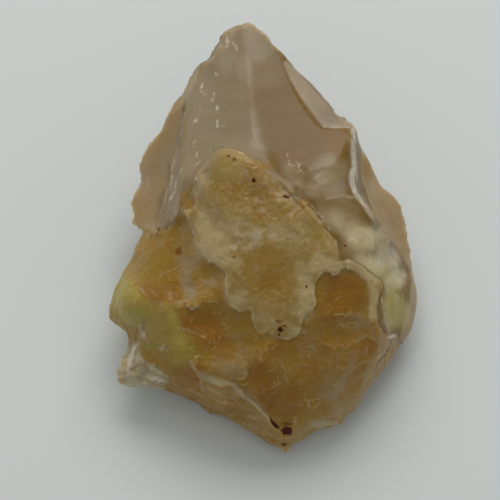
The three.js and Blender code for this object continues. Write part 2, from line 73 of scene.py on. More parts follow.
def toFace(places):
    x = places[:, 0] * 1000 - faceFrame["centreShift"][0]
    y = places[:, 1] * 1000 - faceFrame["centreShift"][1]
    z = places[:, 2] * 1000 - faceFrame["restDepth"]
    return np.stack([x, y * cosLean + z * sinLean, z * cosLean - y * sinLean], axis=1)


def toWorld(x, y, z):
    return Vector((
        x + faceFrame["centreShift"][0],
        y * cosLean - z * sinLean + faceFrame["centreShift"][1],
        y * sinLean + z * cosLean + faceFrame["restDepth"],
    )) / 1000


# Noise over arrays of points, in the points' own units.
gradients = np.random.default_rng(11).normal(size=(256, 3))
gradients /= np.linalg.norm(gradients, axis=1)[:, None]


def latticeKey(cell, seed):
    key = cell[:, 0] * 73856093 ^ cell[:, 1] * 19349663 ^ cell[:, 2] * 83492791 ^ seed * 2654435761
    return ((key ^ key >> 13) * 1274126177 >> 9) & 255


def noise(points, size, seed):
    scaled = points / size + 0.37 * seed
    cell = np.floor(scaled).astype(np.int64)
    within = scaled - cell
    ease = within ** 3 * (within * (within * 6 - 15) + 10)
    total = np.zeros(len(points))
    for corner in itertools.product((0, 1), repeat=3):
        slope = gradients[latticeKey(cell + corner, seed)]
        weight = np.prod(np.where(corner, ease, 1 - ease), axis=1)
        total += weight * np.sum(slope * (within - corner), axis=1)
    return total * 1.6


def fractal(points, size, octaves, seed):
    return sum(noise(points, size / 2 ** k, seed + k) / 2 ** k for k in range(octaves))


# A jittered lattice: how far its nearest point is, in lattice steps, and how high a flat facet with that
# point's own tilt stands here.
def cells(points, size, seed):
    scaled = points / size
    cell = np.floor(scaled).astype(np.int64)
    nearest, height = np.full(len(points), 9.0), np.zeros(len(points))
    for corner in itertools.product((-1, 0, 1), repeat=3):
        at = cell + corner
        key = latticeKey(at, seed)
        offset = scaled - (at + 0.5 + 0.45 * gradients[key])
        away = np.linalg.norm(offset, axis=1)
        tilted = np.sum(offset * gradients[255 - key], axis=1)
        height = np.where(away < nearest, tilted, height)
        nearest = np.minimum(nearest, away)
    return nearest, height


def ramp(values, low, high):
    t = np.clip((values - low) / (high - low), 0, 1)
    return t * t * (3 - 2 * t)


# Lines and areas lie in the face frame's plan. For each point: how far it is from a line, positive on the
# right-hand side of somebody who walks along it, and the value that the line's points carry beside x and y,
# if any.
def fromLine(points, line):
    best = np.full(len(points), 1e9)
    side, carried = np.zeros(len(points)), np.zeros(len(points))
    for start, end in zip(line[:-1], line[1:]):
        dx, dy = end[0] - start[0], end[1] - start[1]
        length = math.hypot(dx, dy)
        along = ((points[:, 0] - start[0]) * dx + (points[:, 1] - start[1]) * dy) / length ** 2
        t = np.clip(along, 0, 1)
        away = np.hypot(points[:, 0] - start[0] - t * dx, points[:, 1] - start[1] - t * dy)
        across = ((points[:, 0] - start[0]) * dy - (points[:, 1] - start[1]) * dx) / length
        nearer = (away < best - 1e-9) | ((away < best + 1e-9) & (np.abs(across) > np.abs(side)))
        best = np.where(nearer, away, best)
        side = np.where(nearer, across, side)
        if len(start) > 2:
            carried = np.where(nearer, start[2] + t * (end[2] - start[2]), carried)
    return np.where(side < 0, -best, best), carried


# Positive inside a closed outline and negative outside, in millimetres.
def depthInside(points, outline):
    ring = list(outline) + [outline[0]]
    within = np.zeros(len(points), bool)
    for (x1, y1), (x2, y2) in zip(ring[:-1], ring[1:]):
        run = (x2 - x1) / (y2 - y1) if y2 != y1 else 0
        level = (y1 > points[:, 1]) != (y2 > points[:, 1])
        within ^= level & (points[:, 0] < x1 + (points[:, 1] - y1) * run)
    return np.where(within, 1, -1) * np.abs(fromLine(points, ring)[0])


# A soft round or oval spot, whole in the middle and gone at its rim.
def patch(points, amount, x, y, radiusX, radiusY, turn=0):
    cosTurn, sinTurn = math.cos(math.radians(turn)), math.sin(math.radians(turn))
    dx, dy = points[:, 0] - x, points[:, 1] - y
    along, across = dx * cosTurn + dy * sinTurn, dy * cosTurn - dx * sinTurn
    return amount * ramp(1 - np.hypot(along / radiusX, across / radiusY), 0, 0.75)


def patched(points, patches):
    return sum(patch(points, *where) for where in patches)


# A soft line, this wide to either side.
def stroke(points, amount, width, *line):
    return amount * ramp(1 - np.abs(fromLine(points, line)[0]) / width, 0, 0.8)


# The stone's shape. The lines and places after it are in the face frame.
stoneShape = {
    "voxel": 0.00063,         # size of the even mesh's squares, in metres; the front has them half as large
    "smoothRounds": 16,       # how long the solid's facets are smoothed
    "creaseTolerance": 0.06,  # a turn of the surface sharper than about this stays a crease
    "ledgeReach": 2.2,        # how far from a ledge the ground has risen again, in millimetres
    "ledgeShare": 0.55,       # of each ledge's drop
    "ledgeLip": 0.2,          # how proud the brink stands, as a share of the drop
    "lipReach": 0.7,          # how far back from the brink that reaches
    "ripple": 0.016,          # heights of the bare faces' ripples and of the raised threads
    "glint": 0.1,
    # What covers the rind, the bare faces, the rims and the underside: height and size, in millimetres.
    "scallop": (0.16, 3.6),
    "lump": (0.12, 2.6),
    "terrace": (0.13, 2.6),
    "granules": (0.13, 1.2),
    "grain": (0.03, 0.7),
    "striation": (0.2, 2.2),
    "skirtStreak": (0.16, 2.6),
    "facet": (0.5, 2.1),
    "crumble": (0.34, 1),
    "rimChip": (0.26, 1.4),
    "crestChip": (0.22, 1.4),
    "underScallop": (0.35, 5.2),
    "underLump": (0.16, 3),
}

# The rind's border over the top, then outwards past the stone.
rindArea = [
    (-18.6, 2), (-16.8, 3.6), (-15.6, 5.8), (-15.6, 8.4), (-13.6, 11.2), (-12.6, 12.6), (-11.4, 14.4),
    (-10.2, 16), (-9.4, 18), (-7.2, 18), (-4.8, 17.6), (-2.8, 16.6), (-0.4, 15.6), (1.2, 14.4), (2.4, 12.6),
    (4.2, 11.2), (5.6, 9.6), (7.4, 8.2), (8.8, 7.2), (10.2, 5.8), (11.4, 4.4), (12.2, 2.8), (13.6, 1.4),
    (14.8, -0.4), (15.4, -2.4), (16.2, -4), (17.6, -3.8), (19, -4.2), (20.6, -5), (22.4, -6.6), (24, -8),
    (24.6, -9.4), (23.8, -11.6), (23.4, -13.6), (23.6, -16.4), (24.4, -18.6), (26, -20.2), (31, -22),
    (60, -60), (-60, -60), (-60, 2),
]

# Where the outline reaches out further: millimetres to the right and towards the point, and the place.
pulls = [
    (-1.15, 0.4, -22.8, 16.8, 4, 6.4, -20), (-1, 0, -25.8, 9, 3.6, 5.4), (0, -0.5, -24.6, 3.4, 2, 2),
    (1.5, 0.5, 28.6, 5, 4.4, 6.4, 25), (0.7, 0, 29.2, 0.4, 3, 4.4), (0.5, 0, 31, -7, 3, 8),
    (0.35, 0.35, 12, 30, 7, 4, -45), (0.55, 0.3, 18.6, 23.6, 3.4, 2.6, -30),
    (0.3, -0.3, 25.4, -25, 3, 6, -35), (-0.3, 0.1, -27.4, -3, 3, 4), (-0.25, -0.5, -8, -34, 6, 3, -30),
    (-0.9, 0.1, -6.4, 41.4, 2.6, 2.6), (0.3, 0.1, 1, 41.6, 2.6, 2.6),
]

# Where the ground runs on gently: how long it is ironed, how steep it may be, and the outline.
ironedAreas = [(260, 0, [
    (-25, -5), (-20, -1), (-15, 4.4), (-10, 6), (0, 5), (8, 3), (14, -1.6), (18, -2.6), (22, -5), (25, -9),
    (24.6, -13), (24.8, -18), (22, -26), (14, -34), (7, -35), (3, -33), (-3, -28.6), (-12, -25), (-20, -23),
    (-24, -14),
]), (120, 0, [
    (-14, 8), (-13, 16), (-11, 21), (-4, 21.4), (2, 19), (7, 13), (11, 9), (8, 4), (2, 8), (-4, 11),
    (-9, 11),
]), (12, -1, [(-40, 3), (-21, 2), (-19, -4), (-20, -14), (-21, -20), (-24, -22), (-40, -22)])]

# Thin broken ledges. The ground drops on the right-hand side of somebody who walks along the line, by each
# point's third number.
ledges = {
    "plateau": [
        (-9.4, 18, 0), (-10.2, 16, 0.15), (-11.4, 14.4, 0.25), (-12.6, 12.6, 0.3), (-13.4, 11.2, 0.3),
        (-13.4, 9.6, 0.4), (-12.8, 8, 0.4), (-13.2, 6.2, 0.3), (-15.2, 5.6, 0.3), (-14.6, 4.2, 0.5),
        (-14, 2.6, 0.6), (-13.2, 0.8, 0.7), (-13, -1, 0.7), (-12, -2.2, 0.7), (-10.8, -3.6, 0.7),
        (-10.2, -4.6, 0.8), (-9, -5, 0.8), (-7.8, -5.6, 0.7), (-6.8, -6.8, 0.5), (-7, -9, 0.35),
        (-6.8, -11.6, 0.4), (-5.8, -13.2, 0.6), (-4, -14.2, 0.6), (-2.2, -14, 0.6), (-1.6, -15.2, 0.5),
        (-1, -16.8, 0.5), (-0.2, -18, 0.35), (1.6, -18.4, 0.2), (3.4, -19.4, 0.4), (5.6, -19.6, 0.6),
        (7.4, -19, 0.7), (7.8, -17.8, 0.7), (8.2, -16.2, 0.8), (9.2, -14.8, 0.8), (10.6, -13.8, 0.9),
        (11, -12.2, 0.9), (10.6, -10.4, 0.9), (10.8, -9.2, 0.9), (11.4, -7.8, 0.9), (12.2, -6.8, 0.9),
        (13.4, -6.4, 0.9), (14.2, -7.2, 0.8), (15.2, -7, 0.8), (15.8, -6, 0.8), (16.6, -5.6, 0.7),
        (18, -6, 0.5), (19.6, -7, 0.3), (21.2, -8.6, 0.15), (22.2, -10.4, 0),
    ],
    "dome border": [
        (15.6, -3, 0), (15.2, -1.8, 0.3), (14.6, -0.2, 0.3), (13.4, 1.6, 0.25), (12.2, 2.8, 0.2),
        (11.4, 4.4, 0.25), (10.2, 5.8, 0.25), (8.8, 7.2, 0.2), (7.4, 8.2, 0.1), (5.6, 9.6, 0),
    ],
    "pocket": [
        (-15.8, -11, 0), (-15.2, -12, 0.5), (-14.6, -13, 0.6), (-13.6, -13.7, 0.6), (-12.4, -13.3, 0.5),
        (-11.4, -12.6, 0.3), (-9, -12.4, 0.2), (-6.6, -11.6, 0),
    ],
    "toe ridge": [
        (3.8, -38.2, 0), (2.8, -36.8, 0.5), (1.8, -35.4, 0.7), (0.6, -34, 0.8), (-0.6, -32.8, 0.8),
        (-2.2, -31.4, 0.7), (-3.6, -29.8, 0.6), (-5.4, -28.6, 0.5), (-7.6, -28, 0.4), (-9.6, -27.4, 0.2),
        (-12, -26.4, 0),
    ],
    "pale scoop": [
        (-7.4, -27, 0), (-5.6, -27.4, 0.3), (-4.2, -27.7, 0.4), (-3, -27.4, 0.5), (-2.5, -26.4, 0.5),
        (-2.8, -25, 0.3), (-2, -23.8, 0),
    ],
    "skirt": [
        (-13.9, -23.6, 0), (-13.6, -25, 0.4), (-12.5, -26.3, 0.5), (-11.8, -28.2, 0.5), (-11.6, -30.4, 0.3),
        (-11.4, -32, 0),
    ],
    "nick": [(3.2, -24.3, 0), (4.6, -25.2, 0.35), (4.9, -26.2, 0.4), (4.6, -27, 0.3), (5.6, -28.2, 0)],
    "outer hollow": [
        (18.8, -21.6, 0), (20, -19.9, 0.4), (21.4, -19.5, 0.5), (22.8, -20.3, 0.4), (23.8, -21.8, 0),
    ],
    "corner hollow": [(18, -27, 0), (19.4, -25.2, 0.35), (21, -24.5, 0.35), (22.6, -25.2, 0)],
    "bulge": [(-21.4, -13.4, 0), (-22, -11.4, 0.15), (-23.4, -10, 0.15), (-25, -8.7, 0.15), (-26.2, -8, 0)],
    "notch": [(-24.4, -20, 0), (-23.8, -18.4, 0.4), (-23.6, -16.6, 0.4), (-23.4, -14.8, 0)],
    "thread": [(-16.8, -17.3, 0), (-14.4, -18, 0.28), (-12.8, -18.8, 0.28), (-11.2, -19.4, 0)],
    "fold": [(-7.9, -15.4, 0), (-7.2, -16.8, 0.25), (-6.2, -17.4, 0.25), (-5, -17.4, 0)],
    "lower fold": [(15.4, -20.4, 0), (16.2, -21, 0.25), (17.2, -21.6, 0.25), (18, -23, 0)],
}

# Cracks: width, depth, darkness, and their lines.
# Their darkness is painted shade in each groove; on the crack at the toe it is also the crack's own dark
# stain.
cracks = [
    (0.22, 0.18, 0.5, [
        (15.6, -3.6), (16.4, -4), (17.6, -3.9), (19, -4.3), (20.6, -5.1), (22.4, -6.7), (24, -8.1),
        (24.6, -9.3), (24, -11), (23.5, -12.6), (23.4, -14.4), (23.7, -16.6), (24.5, -18.6), (25.8, -19.9),
        (26.3, -20.4),
    ]),
    (0.26, 0.2, 0.6, [(9.2, 7.4), (10.6, 6), (11.6, 4.6), (12.4, 3), (13.4, 1.8)]),
    (0.26, 0.4, 1, [(1.9, -35.4), (2.6, -36.6), (3.5, -37.4)]),
    (0.26, 0.2, 0.7, [(26.2, -21), (25.4, -22), (25, -23), (23.6, -24.4)]),
]

# The brown basin in the middle of the plateau.
basinArea = [
    (-1.6, -2), (-0.9, -1), (1, -0.4), (3.6, -0.5), (6.3, -1), (6.7, -3.9), (8.2, -6.1), (7.4, -9.2),
    (5.9, -11.4), (3.6, -12.9), (0.6, -12.2), (-2.4, -10.7), (-3.5, -7.6), (-4.3, -5.4), (-5, -3.1),
    (-3.9, -2.4),
]

# Soft changes of the solid's ground: height, place, radii and turn.
ground = [
    (-0.9, 16.6, -17.6, 7.4, 4.2), (-0.7, -7, -22.2, 10, 4, 8), (-0.5, -14, -10.6, 9, 3),
    (0.7, 18, -10, 5, 5), (0.5, 20, -1, 4, 6, -40), (-0.5, 11.6, 12.4, 5, 2, 25), (0.5, 8, 11.6, 3, 3),
]

# Where the rind lies level with the bare face beside it: how much the ground is raised on the right-hand
# side of each line, how far that reaches, and the line.
levelled = [
    (0.5, 4.5, [
        (5.6, 9.6), (4.2, 11.2), (2.4, 12.6), (1.2, 14.4), (-0.4, 15.6), (-2.8, 16.6), (-4.8, 17.6),
        (-7.2, 18.2), (-9.4, 18), (-10.6, 15.6), (-12, 13.2),
    ]),
    (0.45, 4, [
        (15.4, -2.4), (13.6, 1.4), (12.2, 2.8), (11.4, 4.4), (10.2, 5.8), (8.8, 7.2), (7.4, 8.2),
        (5.6, 9.6),
    ]),
]

# Short raised threads and flake scars: amount, width and line. They are raised a little, and their pale
# colour is a painted highlight.
glints = [
    (0.9, 0.75, (-6.7, 40.4), (-6.5, 39)), (0.7, 0.4, (-5.4, 39.8), (-4.4, 37.4)),
    (0.9, 0.4, (-8.9, 33.4), (-8.4, 33)), (0.9, 0.45, (-11.8, 29.6), (-11.6, 31)),
    (0.6, 0.3, (-11.2, 29.2), (-10.8, 28.6)), (0.8, 0.4, (-9.6, 27.8), (-9.2, 29.2)),
    (0.9, 0.35, (-8.8, 26.6), (-8.2, 25.4)), (0.8, 0.5, (-8.6, 23.8), (-8.5, 22.4)),
    (0.6, 0.25, (-7.4, 22.3), (-7.1, 22.9)), (0.8, 0.3, (-13.2, 23.2), (-12.8, 24.3), (-12.4, 23.2)),
    (0.5, 0.3, (-9.4, 36), (-9, 37.2)), (0.5, 0.3, (-13, 20), (-13.2, 18.6)),
    (0.5, 0.3, (-12.4, 17.4), (-12.6, 16.6)), (0.9, 0.3, (-17.5, 12.8), (-18, 10.4)),
    (0.9, 0.3, (-16.6, 11.6), (-17, 9.6), (-17.8, 8)), (0.7, 0.25, (-18.4, 10.2), (-19.2, 7.8)),
    (0.6, 0.25, (-15.4, 14.4), (-16.2, 12.8)), (0.6, 0.3, (-12, 15.4), (-12.9, 14.5)),
    (0.6, 0.25, (-16, 6.6), (-17, 4.4)), (0.5, 0.25, (-17, 15.6), (-17.6, 13.8)),
    (0.4, 0.3, (-22.8, 13), (-22.4, 10.6)), (0.7, 0.35, (14.6, -14.8), (16.2, -14.6)),
    (0.7, 0.3, (16.4, -15.2), (18, -14.8)), (0.6, 0.2, (18.8, -15.2), (21.8, -15.4)),
    (0.6, 0.3, (15.4, -15.8), (16.6, -17), (17.6, -17.6)),
    (0.6, 0.25, (17.2, -16.6), (18.6, -16.4), (19.6, -16.6)),
    (0.7, 0.25, (-16.4, -17.6), (-14.4, -18), (-12.8, -18.8), (-11.4, -19.2)),
    (0.9, 0.25, (-13.4, -23.2), (-12, -23)), (0.6, 0.3, (-13.8, -24), (-13.6, -25.2), (-12.6, -26.2)),
    (0.5, 0.25, (-8, -15.6), (-7.2, -16.8), (-6.2, -17.4), (-7.8, -17.8)),
    (0.5, 0.4, (-19, -20.8), (-19.4, -21.8)), (0.6, 0.3, (-23.6, -16.6), (-23.8, -18.4), (-24.2, -19.4)),
    (0.7, 0.3, (4, -25), (5, -25.6), (4.6, -26.8), (5.4, -28)),
    (0.6, 0.3, (0.6, -29.6), (2, -29.4), (3.6, -28.6)), (0.6, 0.25, (-3.4, -28.8), (-1.8, -28.6)),
    (0.6, 0.3, (-2.6, -26.2), (-3, -27.4), (-4.2, -27.7), (-5.6, -27.4)),
    (0.7, 0.25, (9.6, -32.8), (9.6, -31.9), (10.6, -31.5), (11.6, -31.7), (11.7, -32.6), (10.9, -33.3),
     (10, -33.5), (9.6, -33)),
    (0.5, 0.3, (15.6, -20.8), (17, -21.4)), (0.5, 0.3, (15, -25.6), (15.6, -25), (16.6, -25.6)),
    (0.6, 0.4, (6.8, -35), (7.2, -36.8)), (0.8, 0.4, (23.4, -23.6), (25, -22.4)),
    (0.6, 0.3, (24.2, -11.6), (24.6, -14.4), (25.2, -17), (25.8, -18.8), (26.4, -19.6)),
    (1, 0.6, (25.6, -19.4), (27.2, -19.2)), (0.5, 0.3, (25, -9.8), (26.4, -10.6), (27.8, -11.8)),
    (0.6, 0.35, (27, -4.6), (27.4, -6.2)), (0.6, 0.3, (28, -6.4), (29.2, -7.4)),
    (0.6, 0.25, (14.9, 0), (15.3, -1.6), (15.3, -2.8)),
    (0.5, 0.3, (8.6, 8), (10.2, 6.6), (11.8, 4.8), (12.8, 3), (14, 1.6)),
    (0.5, 0.3, (7.2, 15.4), (7.8, 14.2), (8.6, 13)), (0.5, 0.3, (-2, 7.9), (-3, 8.2)),
    (0.4, 0.25, (2.6, -10), (4, -11)), (0.5, 0.3, (-28.6, -12.6), (-27.8, -13.2), (-27.4, -12.2)),
    (0.7, 0.5, (10.2, -37.4), (12.5, -37.4), (15.4, -36.8)), (0.5, 0.35, (15.5, -33.8), (15.6, -35.4)),
    (0.5, 0.3, (-14.6, -29.4), (-13.8, -29.8), (-12.8, -29.5)), (0.5, 0.35, (5.4, 17), (6, 15)),
    (0.5, 0.3, (12.4, 22.5), (14.8, 22.5), (17.8, 22.6)),
]

# A bruised edge: its line, and how bruised it is there.
bruisedLine = [
    (18.6, 22, 0.8), (18.9, 20, 0.9), (18.7, 17.6, 0.9), (18.9, 15, 1), (18.6, 12.6, 1), (18.6, 10.6, 1),
    (19.2, 9, 0.8), (20.2, 7.6, 0.6), (21.2, 6.4, 0.4), (22.2, 5, 0.2),
]
# The left face near the point. Its taupe is its own colour with a painted grey sheen of reflected light.
leftFaceArea = [
    (-20, 60), (-3, 60), (-3.2, 44), (-3.4, 36), (-2.6, 30), (-1.4, 24), (0, 18.6), (0.8, 15.6), (-4, 17),
    (-9, 18), (-12, 14), (-14.6, 9), (-17, 4), (-16.2, 13), (-15.6, 20), (-14.6, 27), (-12.8, 33),
    (-9.8, 38),
]
bandArea = [
    (-13.8, 33), (-14.8, 27), (-15.8, 20), (-15.8, 12), (-15.4, 8), (-15.2, 5.6), (-17.4, 3), (-21, 0.6),
    (-21.4, 3), (-20, 8), (-18.4, 14), (-16.8, 21), (-14.8, 28),
]
leftSlabArea = [
    (-11.6, 37), (-13.4, 31), (-15.4, 25), (-17, 19), (-18.6, 12), (-20.2, 6), (-21.4, 1), (-40, 1),
    (-40, 40),
]
rightSlabArea = [
    (20.4, 22), (20.2, 16), (20.4, 12), (21.4, 9.4), (22.4, 6), (24, 3), (25.2, 1.4), (26.6, -0.8),
    (28.2, -3.2), (29.8, -5.6), (30.4, -8), (30, -12), (29, -15), (28.2, -18), (28, -20), (60, -24),
    (60, 30),
]
# The bevel under the point. Its pale rose is a painted reflection of the light on that facet.
bevelArea = [
    (4.6, 35.4), (6, 32), (8, 28.6), (10, 26), (12.4, 22.8), (14.6, 22.4), (17.6, 22.6), (19, 22.6),
    (22, 24), (16, 34), (8, 38),
]
glassyArea = [
    (-26.6, -21), (-25, -20.4), (-24.2, -22.6), (-22.6, -24.4), (-20.4, -25.4), (-18.4, -27),
    (-18.2, -28.8), (-20, -30), (-32, -31), (-32, -25),
]


# A copy of a solid with an even mesh to work on.
def evenMesh(source, voxel):
    mesh = source.data.copy()
    work = bmesh.new()
    work.from_mesh(mesh)
    bmesh.ops.remove_doubles(work, verts=work.verts[:], dist=1e-6)
    work.to_mesh(mesh)
    work.free()
    holder = bpy.data.objects.new("holder", mesh)
    bpy.context.scene.collection.objects.link(holder)
    remesh = holder.modifiers.new("even", "REMESH")
    remesh.mode = "VOXEL"
    remesh.voxel_size = voxel
    even = bpy.data.meshes.new_from_object(holder.evaluated_get(bpy.context.evaluated_depsgraph_get()))
    bpy.data.objects.remove(holder)
    return even


# Splits the faces of the front and the rim in four.
def finerFront(mesh):
    work = bmesh.new()
    work.from_mesh(mesh)
    outwards = Vector(faceOut)
    front = [face for face in work.faces if face.normal.dot(outwards) > -0.25]
    edges = list({edge for face in front for edge in face.edges})
    bmesh.ops.subdivide_edges(work, edges=edges, cuts=1, use_grid_fill=True)
    work.to_mesh(mesh)
    work.free()


class Surface:
    def __init__(self, mesh):
        self.mesh = mesh
        self.count = len(mesh.vertices)
        self.places = self.read(mesh.vertices, "co", 3, np.float32).astype(float)
        self.edges = self.read(mesh.edges, "vertices", 2, np.int32)

    def read(self, collection, name, width, kind):
        values = np.empty(len(collection) * width, kind)
        collection.foreach_get(name, values)
        return values.reshape(-1, width)

    def writeBack(self):
        self.mesh.vertices.foreach_set("co", self.places.astype(np.float32).ravel())
        self.mesh.update()

    def normals(self):
        self.writeBack()
        return self.read(self.mesh.vertex_normals, "vector", 3, np.float32).astype(float)

    # Each point's move to the weighted middle of its neighbours.
    def towardsNeighbours(self, places, weights):
        start, end = self.edges[:, 0], self.edges[:, 1]
        pull = (places[end] - places[start]) * weights[:, None]
        total = np.stack([
            np.bincount(start, part, self.count) - np.bincount(end, part, self.count) for part in pull.T
        ], axis=1)
        share = np.bincount(start, weights, self.count) + np.bincount(end, weights, self.count)
        return total / np.maximum(share, 1e-9)[:, None]

    # Smooths facets away and leaves creases.
    def smooth(self, rounds, tolerance):
        for _ in range(rounds):
            normals = self.normals()
            turn = 1 - np.sum(normals[self.edges[:, 0]] * normals[self.edges[:, 1]], axis=1)
            self.places += 0.5 * self.towardsNeighbours(self.places, np.exp(-turn / tolerance))

    # Moves each point to the nearest place on a solid.
    def drawOnto(self, solid):
        corners = [vertex.co for vertex in solid.data.vertices]
        tree = BVHTree.FromPolygons(corners, [polygon.vertices for polygon in solid.data.polygons])
        self.places = np.array([tree.find_nearest(Vector(place))[0] for place in self.places])

    # Irons out lumps: share is 1 where it acts fully and 0 where nothing moves.
    def iron(self, share, rounds):
        alike = np.ones(len(self.edges))
        for _ in range(rounds):
            self.places += (0.6 * share)[:, None] * self.towardsNeighbours(self.places, alike)

    # How far each point stands proud of the surface after this many rounds of even smoothing.
    def relief(self, rounds):
        smoothed = self.places.copy()
        for _ in range(rounds):
            smoothed += 0.6 * self.towardsNeighbours(smoothed, np.ones(len(self.edges)))
        return np.sum((self.places - smoothed) * self.normals(), axis=1) * 1000

    # The mean of a value over each point's neighbours.
    def nearby(self, values):
        start, end = self.edges[:, 0], self.edges[:, 1]
        total = np.bincount(start, values[end], self.count) + np.bincount(end, values[start], self.count)
        neighbours = np.bincount(start, minlength=self.count) + np.bincount(end, minlength=self.count)
        return total / np.maximum(neighbours, 1)

    def attribute(self, name, values):
        layer = self.mesh.attributes.new(name, "FLOAT", "POINT")
        layer.data.foreach_set("value", np.clip(values, 0, 1).astype(np.float32))


stoneMesh = evenMesh(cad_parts["agate"], stoneShape["voxel"])
finerFront(stoneMesh)
surface = Surface(stoneMesh)
surface.drawOnto(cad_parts["agate"])
surface.smooth(stoneShape["smoothRounds"], stoneShape["creaseTolerance"])
surface.iron(np.full(surface.count, 0.8), 2)
print("even mesh:", surface.count, "points")

# The stone's relief: pulls and ironed areas first, then all that stands on them.
face = toFace(surface.places)
for right, up, *where in pulls:
    surface.places += patch(face, 0.001, *where)[:, None] * np.array([right, up * cosLean, up * sinLean])
face = toFace(surface.places)
for rounds, steepest, outline in ironedAreas:
    gentle = ramp(surface.normals() @ faceOut, steepest, steepest + 0.3)
    surface.iron(ramp(depthInside(face, outline), 0, 2.5) * gentle, rounds)
    face = toFace(surface.places)
plan = face[:, :2]
outwards = surface.normals() @ faceOut
front = ramp(outwards, -0.2, 0.15)


# Sideways wobbles over the face.
def wobble(size, octaves, seed):
    sideways = [fractal(face, size, octaves, seed + more) for more in (0, 10)]
    return np.stack(sideways + [np.zeros(len(face))], axis=1)


# Soft blotches over the face, from 0 to 1.
def blotches(size, octaves, seed, low, high):
    return ramp(fractal(face, size, octaves, seed), low, high)


# Relief of one kind, as high as stoneShape says, where its share is 1.
def rough(kind, share, points, octaves, seed):
    height, size = stoneShape[kind]
    return share * height * fractal(points, size, octaves, seed)


# Shallow cups side by side.
def cups(points, size, seed):
    return (cells(points, size, seed)[0] / 0.6) ** 2


wander = wobble(4, 3, 21)
ragged = face + wobble(1.3, 2, 141) * 0.2
ragged += 0.25 * wander
warped = face + 0.8 * wander

rind = ramp(depthInside(ragged, rindArea), -0.15, 0.15) * front
band = ramp(depthInside(warped, bandArea), -0.6, 0.8) * front
glassy = ramp(depthInside(warped, glassyArea), -0.6, 0.6)

shape = patched(face, ground) * front
for height, reach, line in levelled:
    away = fromLine(face, line)[0]
    fading = ramp(away, -0.6, 0.6) * np.exp(-np.maximum(away, 0) / reach)
    shape += height * np.where(away > -0.6, fading, 0) * front
# Masks for painted light and shade at the ledges: a painted highlight on each brink and along each edge, and
# painted shade at each foot.
brink, footShade, edgeHighlight = np.zeros((3, len(face)))
for name, line in ledges.items():
    away, drop = fromLine(ragged, line)
    drop = drop * stoneShape["ledgeShare"]
    low = np.where(away > 0, np.exp(-away / stoneShape["ledgeReach"]), 0)
    high = np.where(away <= 0, np.exp(away / stoneShape["lipReach"]), 0)
    shape += drop * (stoneShape["ledgeLip"] * high - low) * front
    brink = np.maximum(brink, ramp(drop, 0, 0.4) * ramp(away, -0.7, -0.1) * (away < 0))
    edgeHighlight = np.maximum(edgeHighlight, ramp(drop, 0, 0.3) * ramp(1 - np.abs(away + 0.12) / 0.3, 0, 0.8))
    footShade = np.maximum(footShade, ramp(drop, 0, 0.4) * ramp(1.2 - away, 0, 1.2) * (away > 0))
brink *= blotches(2.4, 3, 191, -0.45, 0.35)
edgeHighlight *= blotches(1.8, 3, 197, -0.3, 0.3)
crack = np.zeros(len(face))
for width, depth, darkness, line in cracks:
    here = ramp(1 - np.abs(fromLine(ragged, line)[0]) / width, 0, 0.8)
    crack = np.maximum(crack, darkness * here)
    shape -= depth * here * front

rim = ramp(0.75 - np.abs(outwards), 0, 0.5)
granular = np.clip(patched(face, [(1, 0, 8, 11, 9, -35), (0.6, 8, -2, 8, 8), (0.5, 22, -30, 8, 9)]), 0, 1)
# Cups, lumps, terraces and grains of the rind.
height, size = stoneShape["scallop"]
shape += rind * height * cups(warped, size, 5) * blotches(8, 2, 3, -0.3, 0.4)
shape += rough("lump", rind, face, 3, 41)
height, size = stoneShape["terrace"]
steps = fractal(warped, 6, 3, 51) * 2.2 + (face[:, 0] * 0.5 - face[:, 1] * 0.8) / size
level = np.floor(steps)
shape += rind * height * (level + ramp(steps - level, 0, 0.16) - steps)
shape += rough("granules", rind * granular, face, 2, 63)
shape += rough("grain", 1, face, 2, 61) * (0.3 + rind)

# Ripples, streaks and facets of the faces round it.
fromPoint = np.linalg.norm(face - np.array([-3, 44, -4]), axis=1)
shape += (1 - rind) * stoneShape["ripple"] * np.sin(fromPoint * 1.2 + 1.6 * fractal(face, 8, 2, 71))
striped = np.stack([
    (face[:, 0] * 0.976 - face[:, 1] * 0.22) * 3.6, face[:, 1] * 0.3, face[:, 2] * 0.5,
], axis=1)
shape += rough("striation", band, striped, 3, 81)
faceted = glassy + patch(face, 1, 5, -41, 5, 3) + patch(face, 0.7, 13, -36.6, 5, 2) + 0.5 * rim * rind
height, size = stoneShape["facet"]
shape += np.clip(faceted, 0, 1) * height * cells(face, size, 87)[1]
skirtArea = np.clip(patched(face, [(1, -7, -33, 12, 5, -35), (1, 0, -38, 7, 3, -35)]), 0, 1)
streaky = np.stack([
    (warped[:, 0] * 0.76 - warped[:, 1] * 0.65) * 0.45,
    (warped[:, 0] * 0.65 + warped[:, 1] * 0.76) * 2.6,
    warped[:, 2],
], axis=1)
shape += rough("skirtStreak", skirtArea, streaky, 3, 85)

# The bruised edge, the threads and the chipped rims.
away, share = fromLine(ragged, bruisedLine)
bruised = share * ramp(0.85 - np.abs(away), 0, 0.7) * front * (1 - rind)
height, size = stoneShape["crumble"]
shape += bruised * height * (fractal(face, size, 3, 91) - 0.25)
flecked = face + 0.3 * wobble(0.8, 2, 161)
# Where the glints lie: raised a little here, and painted pale as highlights further down.
glintMask = sum(stroke(flecked, amount, 0.7 * width, *line) for amount, width, *line in glints)
glintMask = np.clip(glintMask, 0, 1) * front
glintMask *= blotches(0.9, 2, 181, -0.8, 0)
shape += stoneShape["glint"] * glintMask

leftSlab = ramp(depthInside(warped, leftSlabArea), -0.4, 0.4)
slab = np.maximum(leftSlab, ramp(depthInside(face, rightSlabArea), -0.3, 0.3))
height, size = stoneShape["rimChip"]
chipped = rim * (1 - 0.85 * slab) * height * ramp(cells(face, size, 8)[0], 0.2, 0.75)
shape -= chipped * blotches(5, 2, 95, -0.4, 0.3)

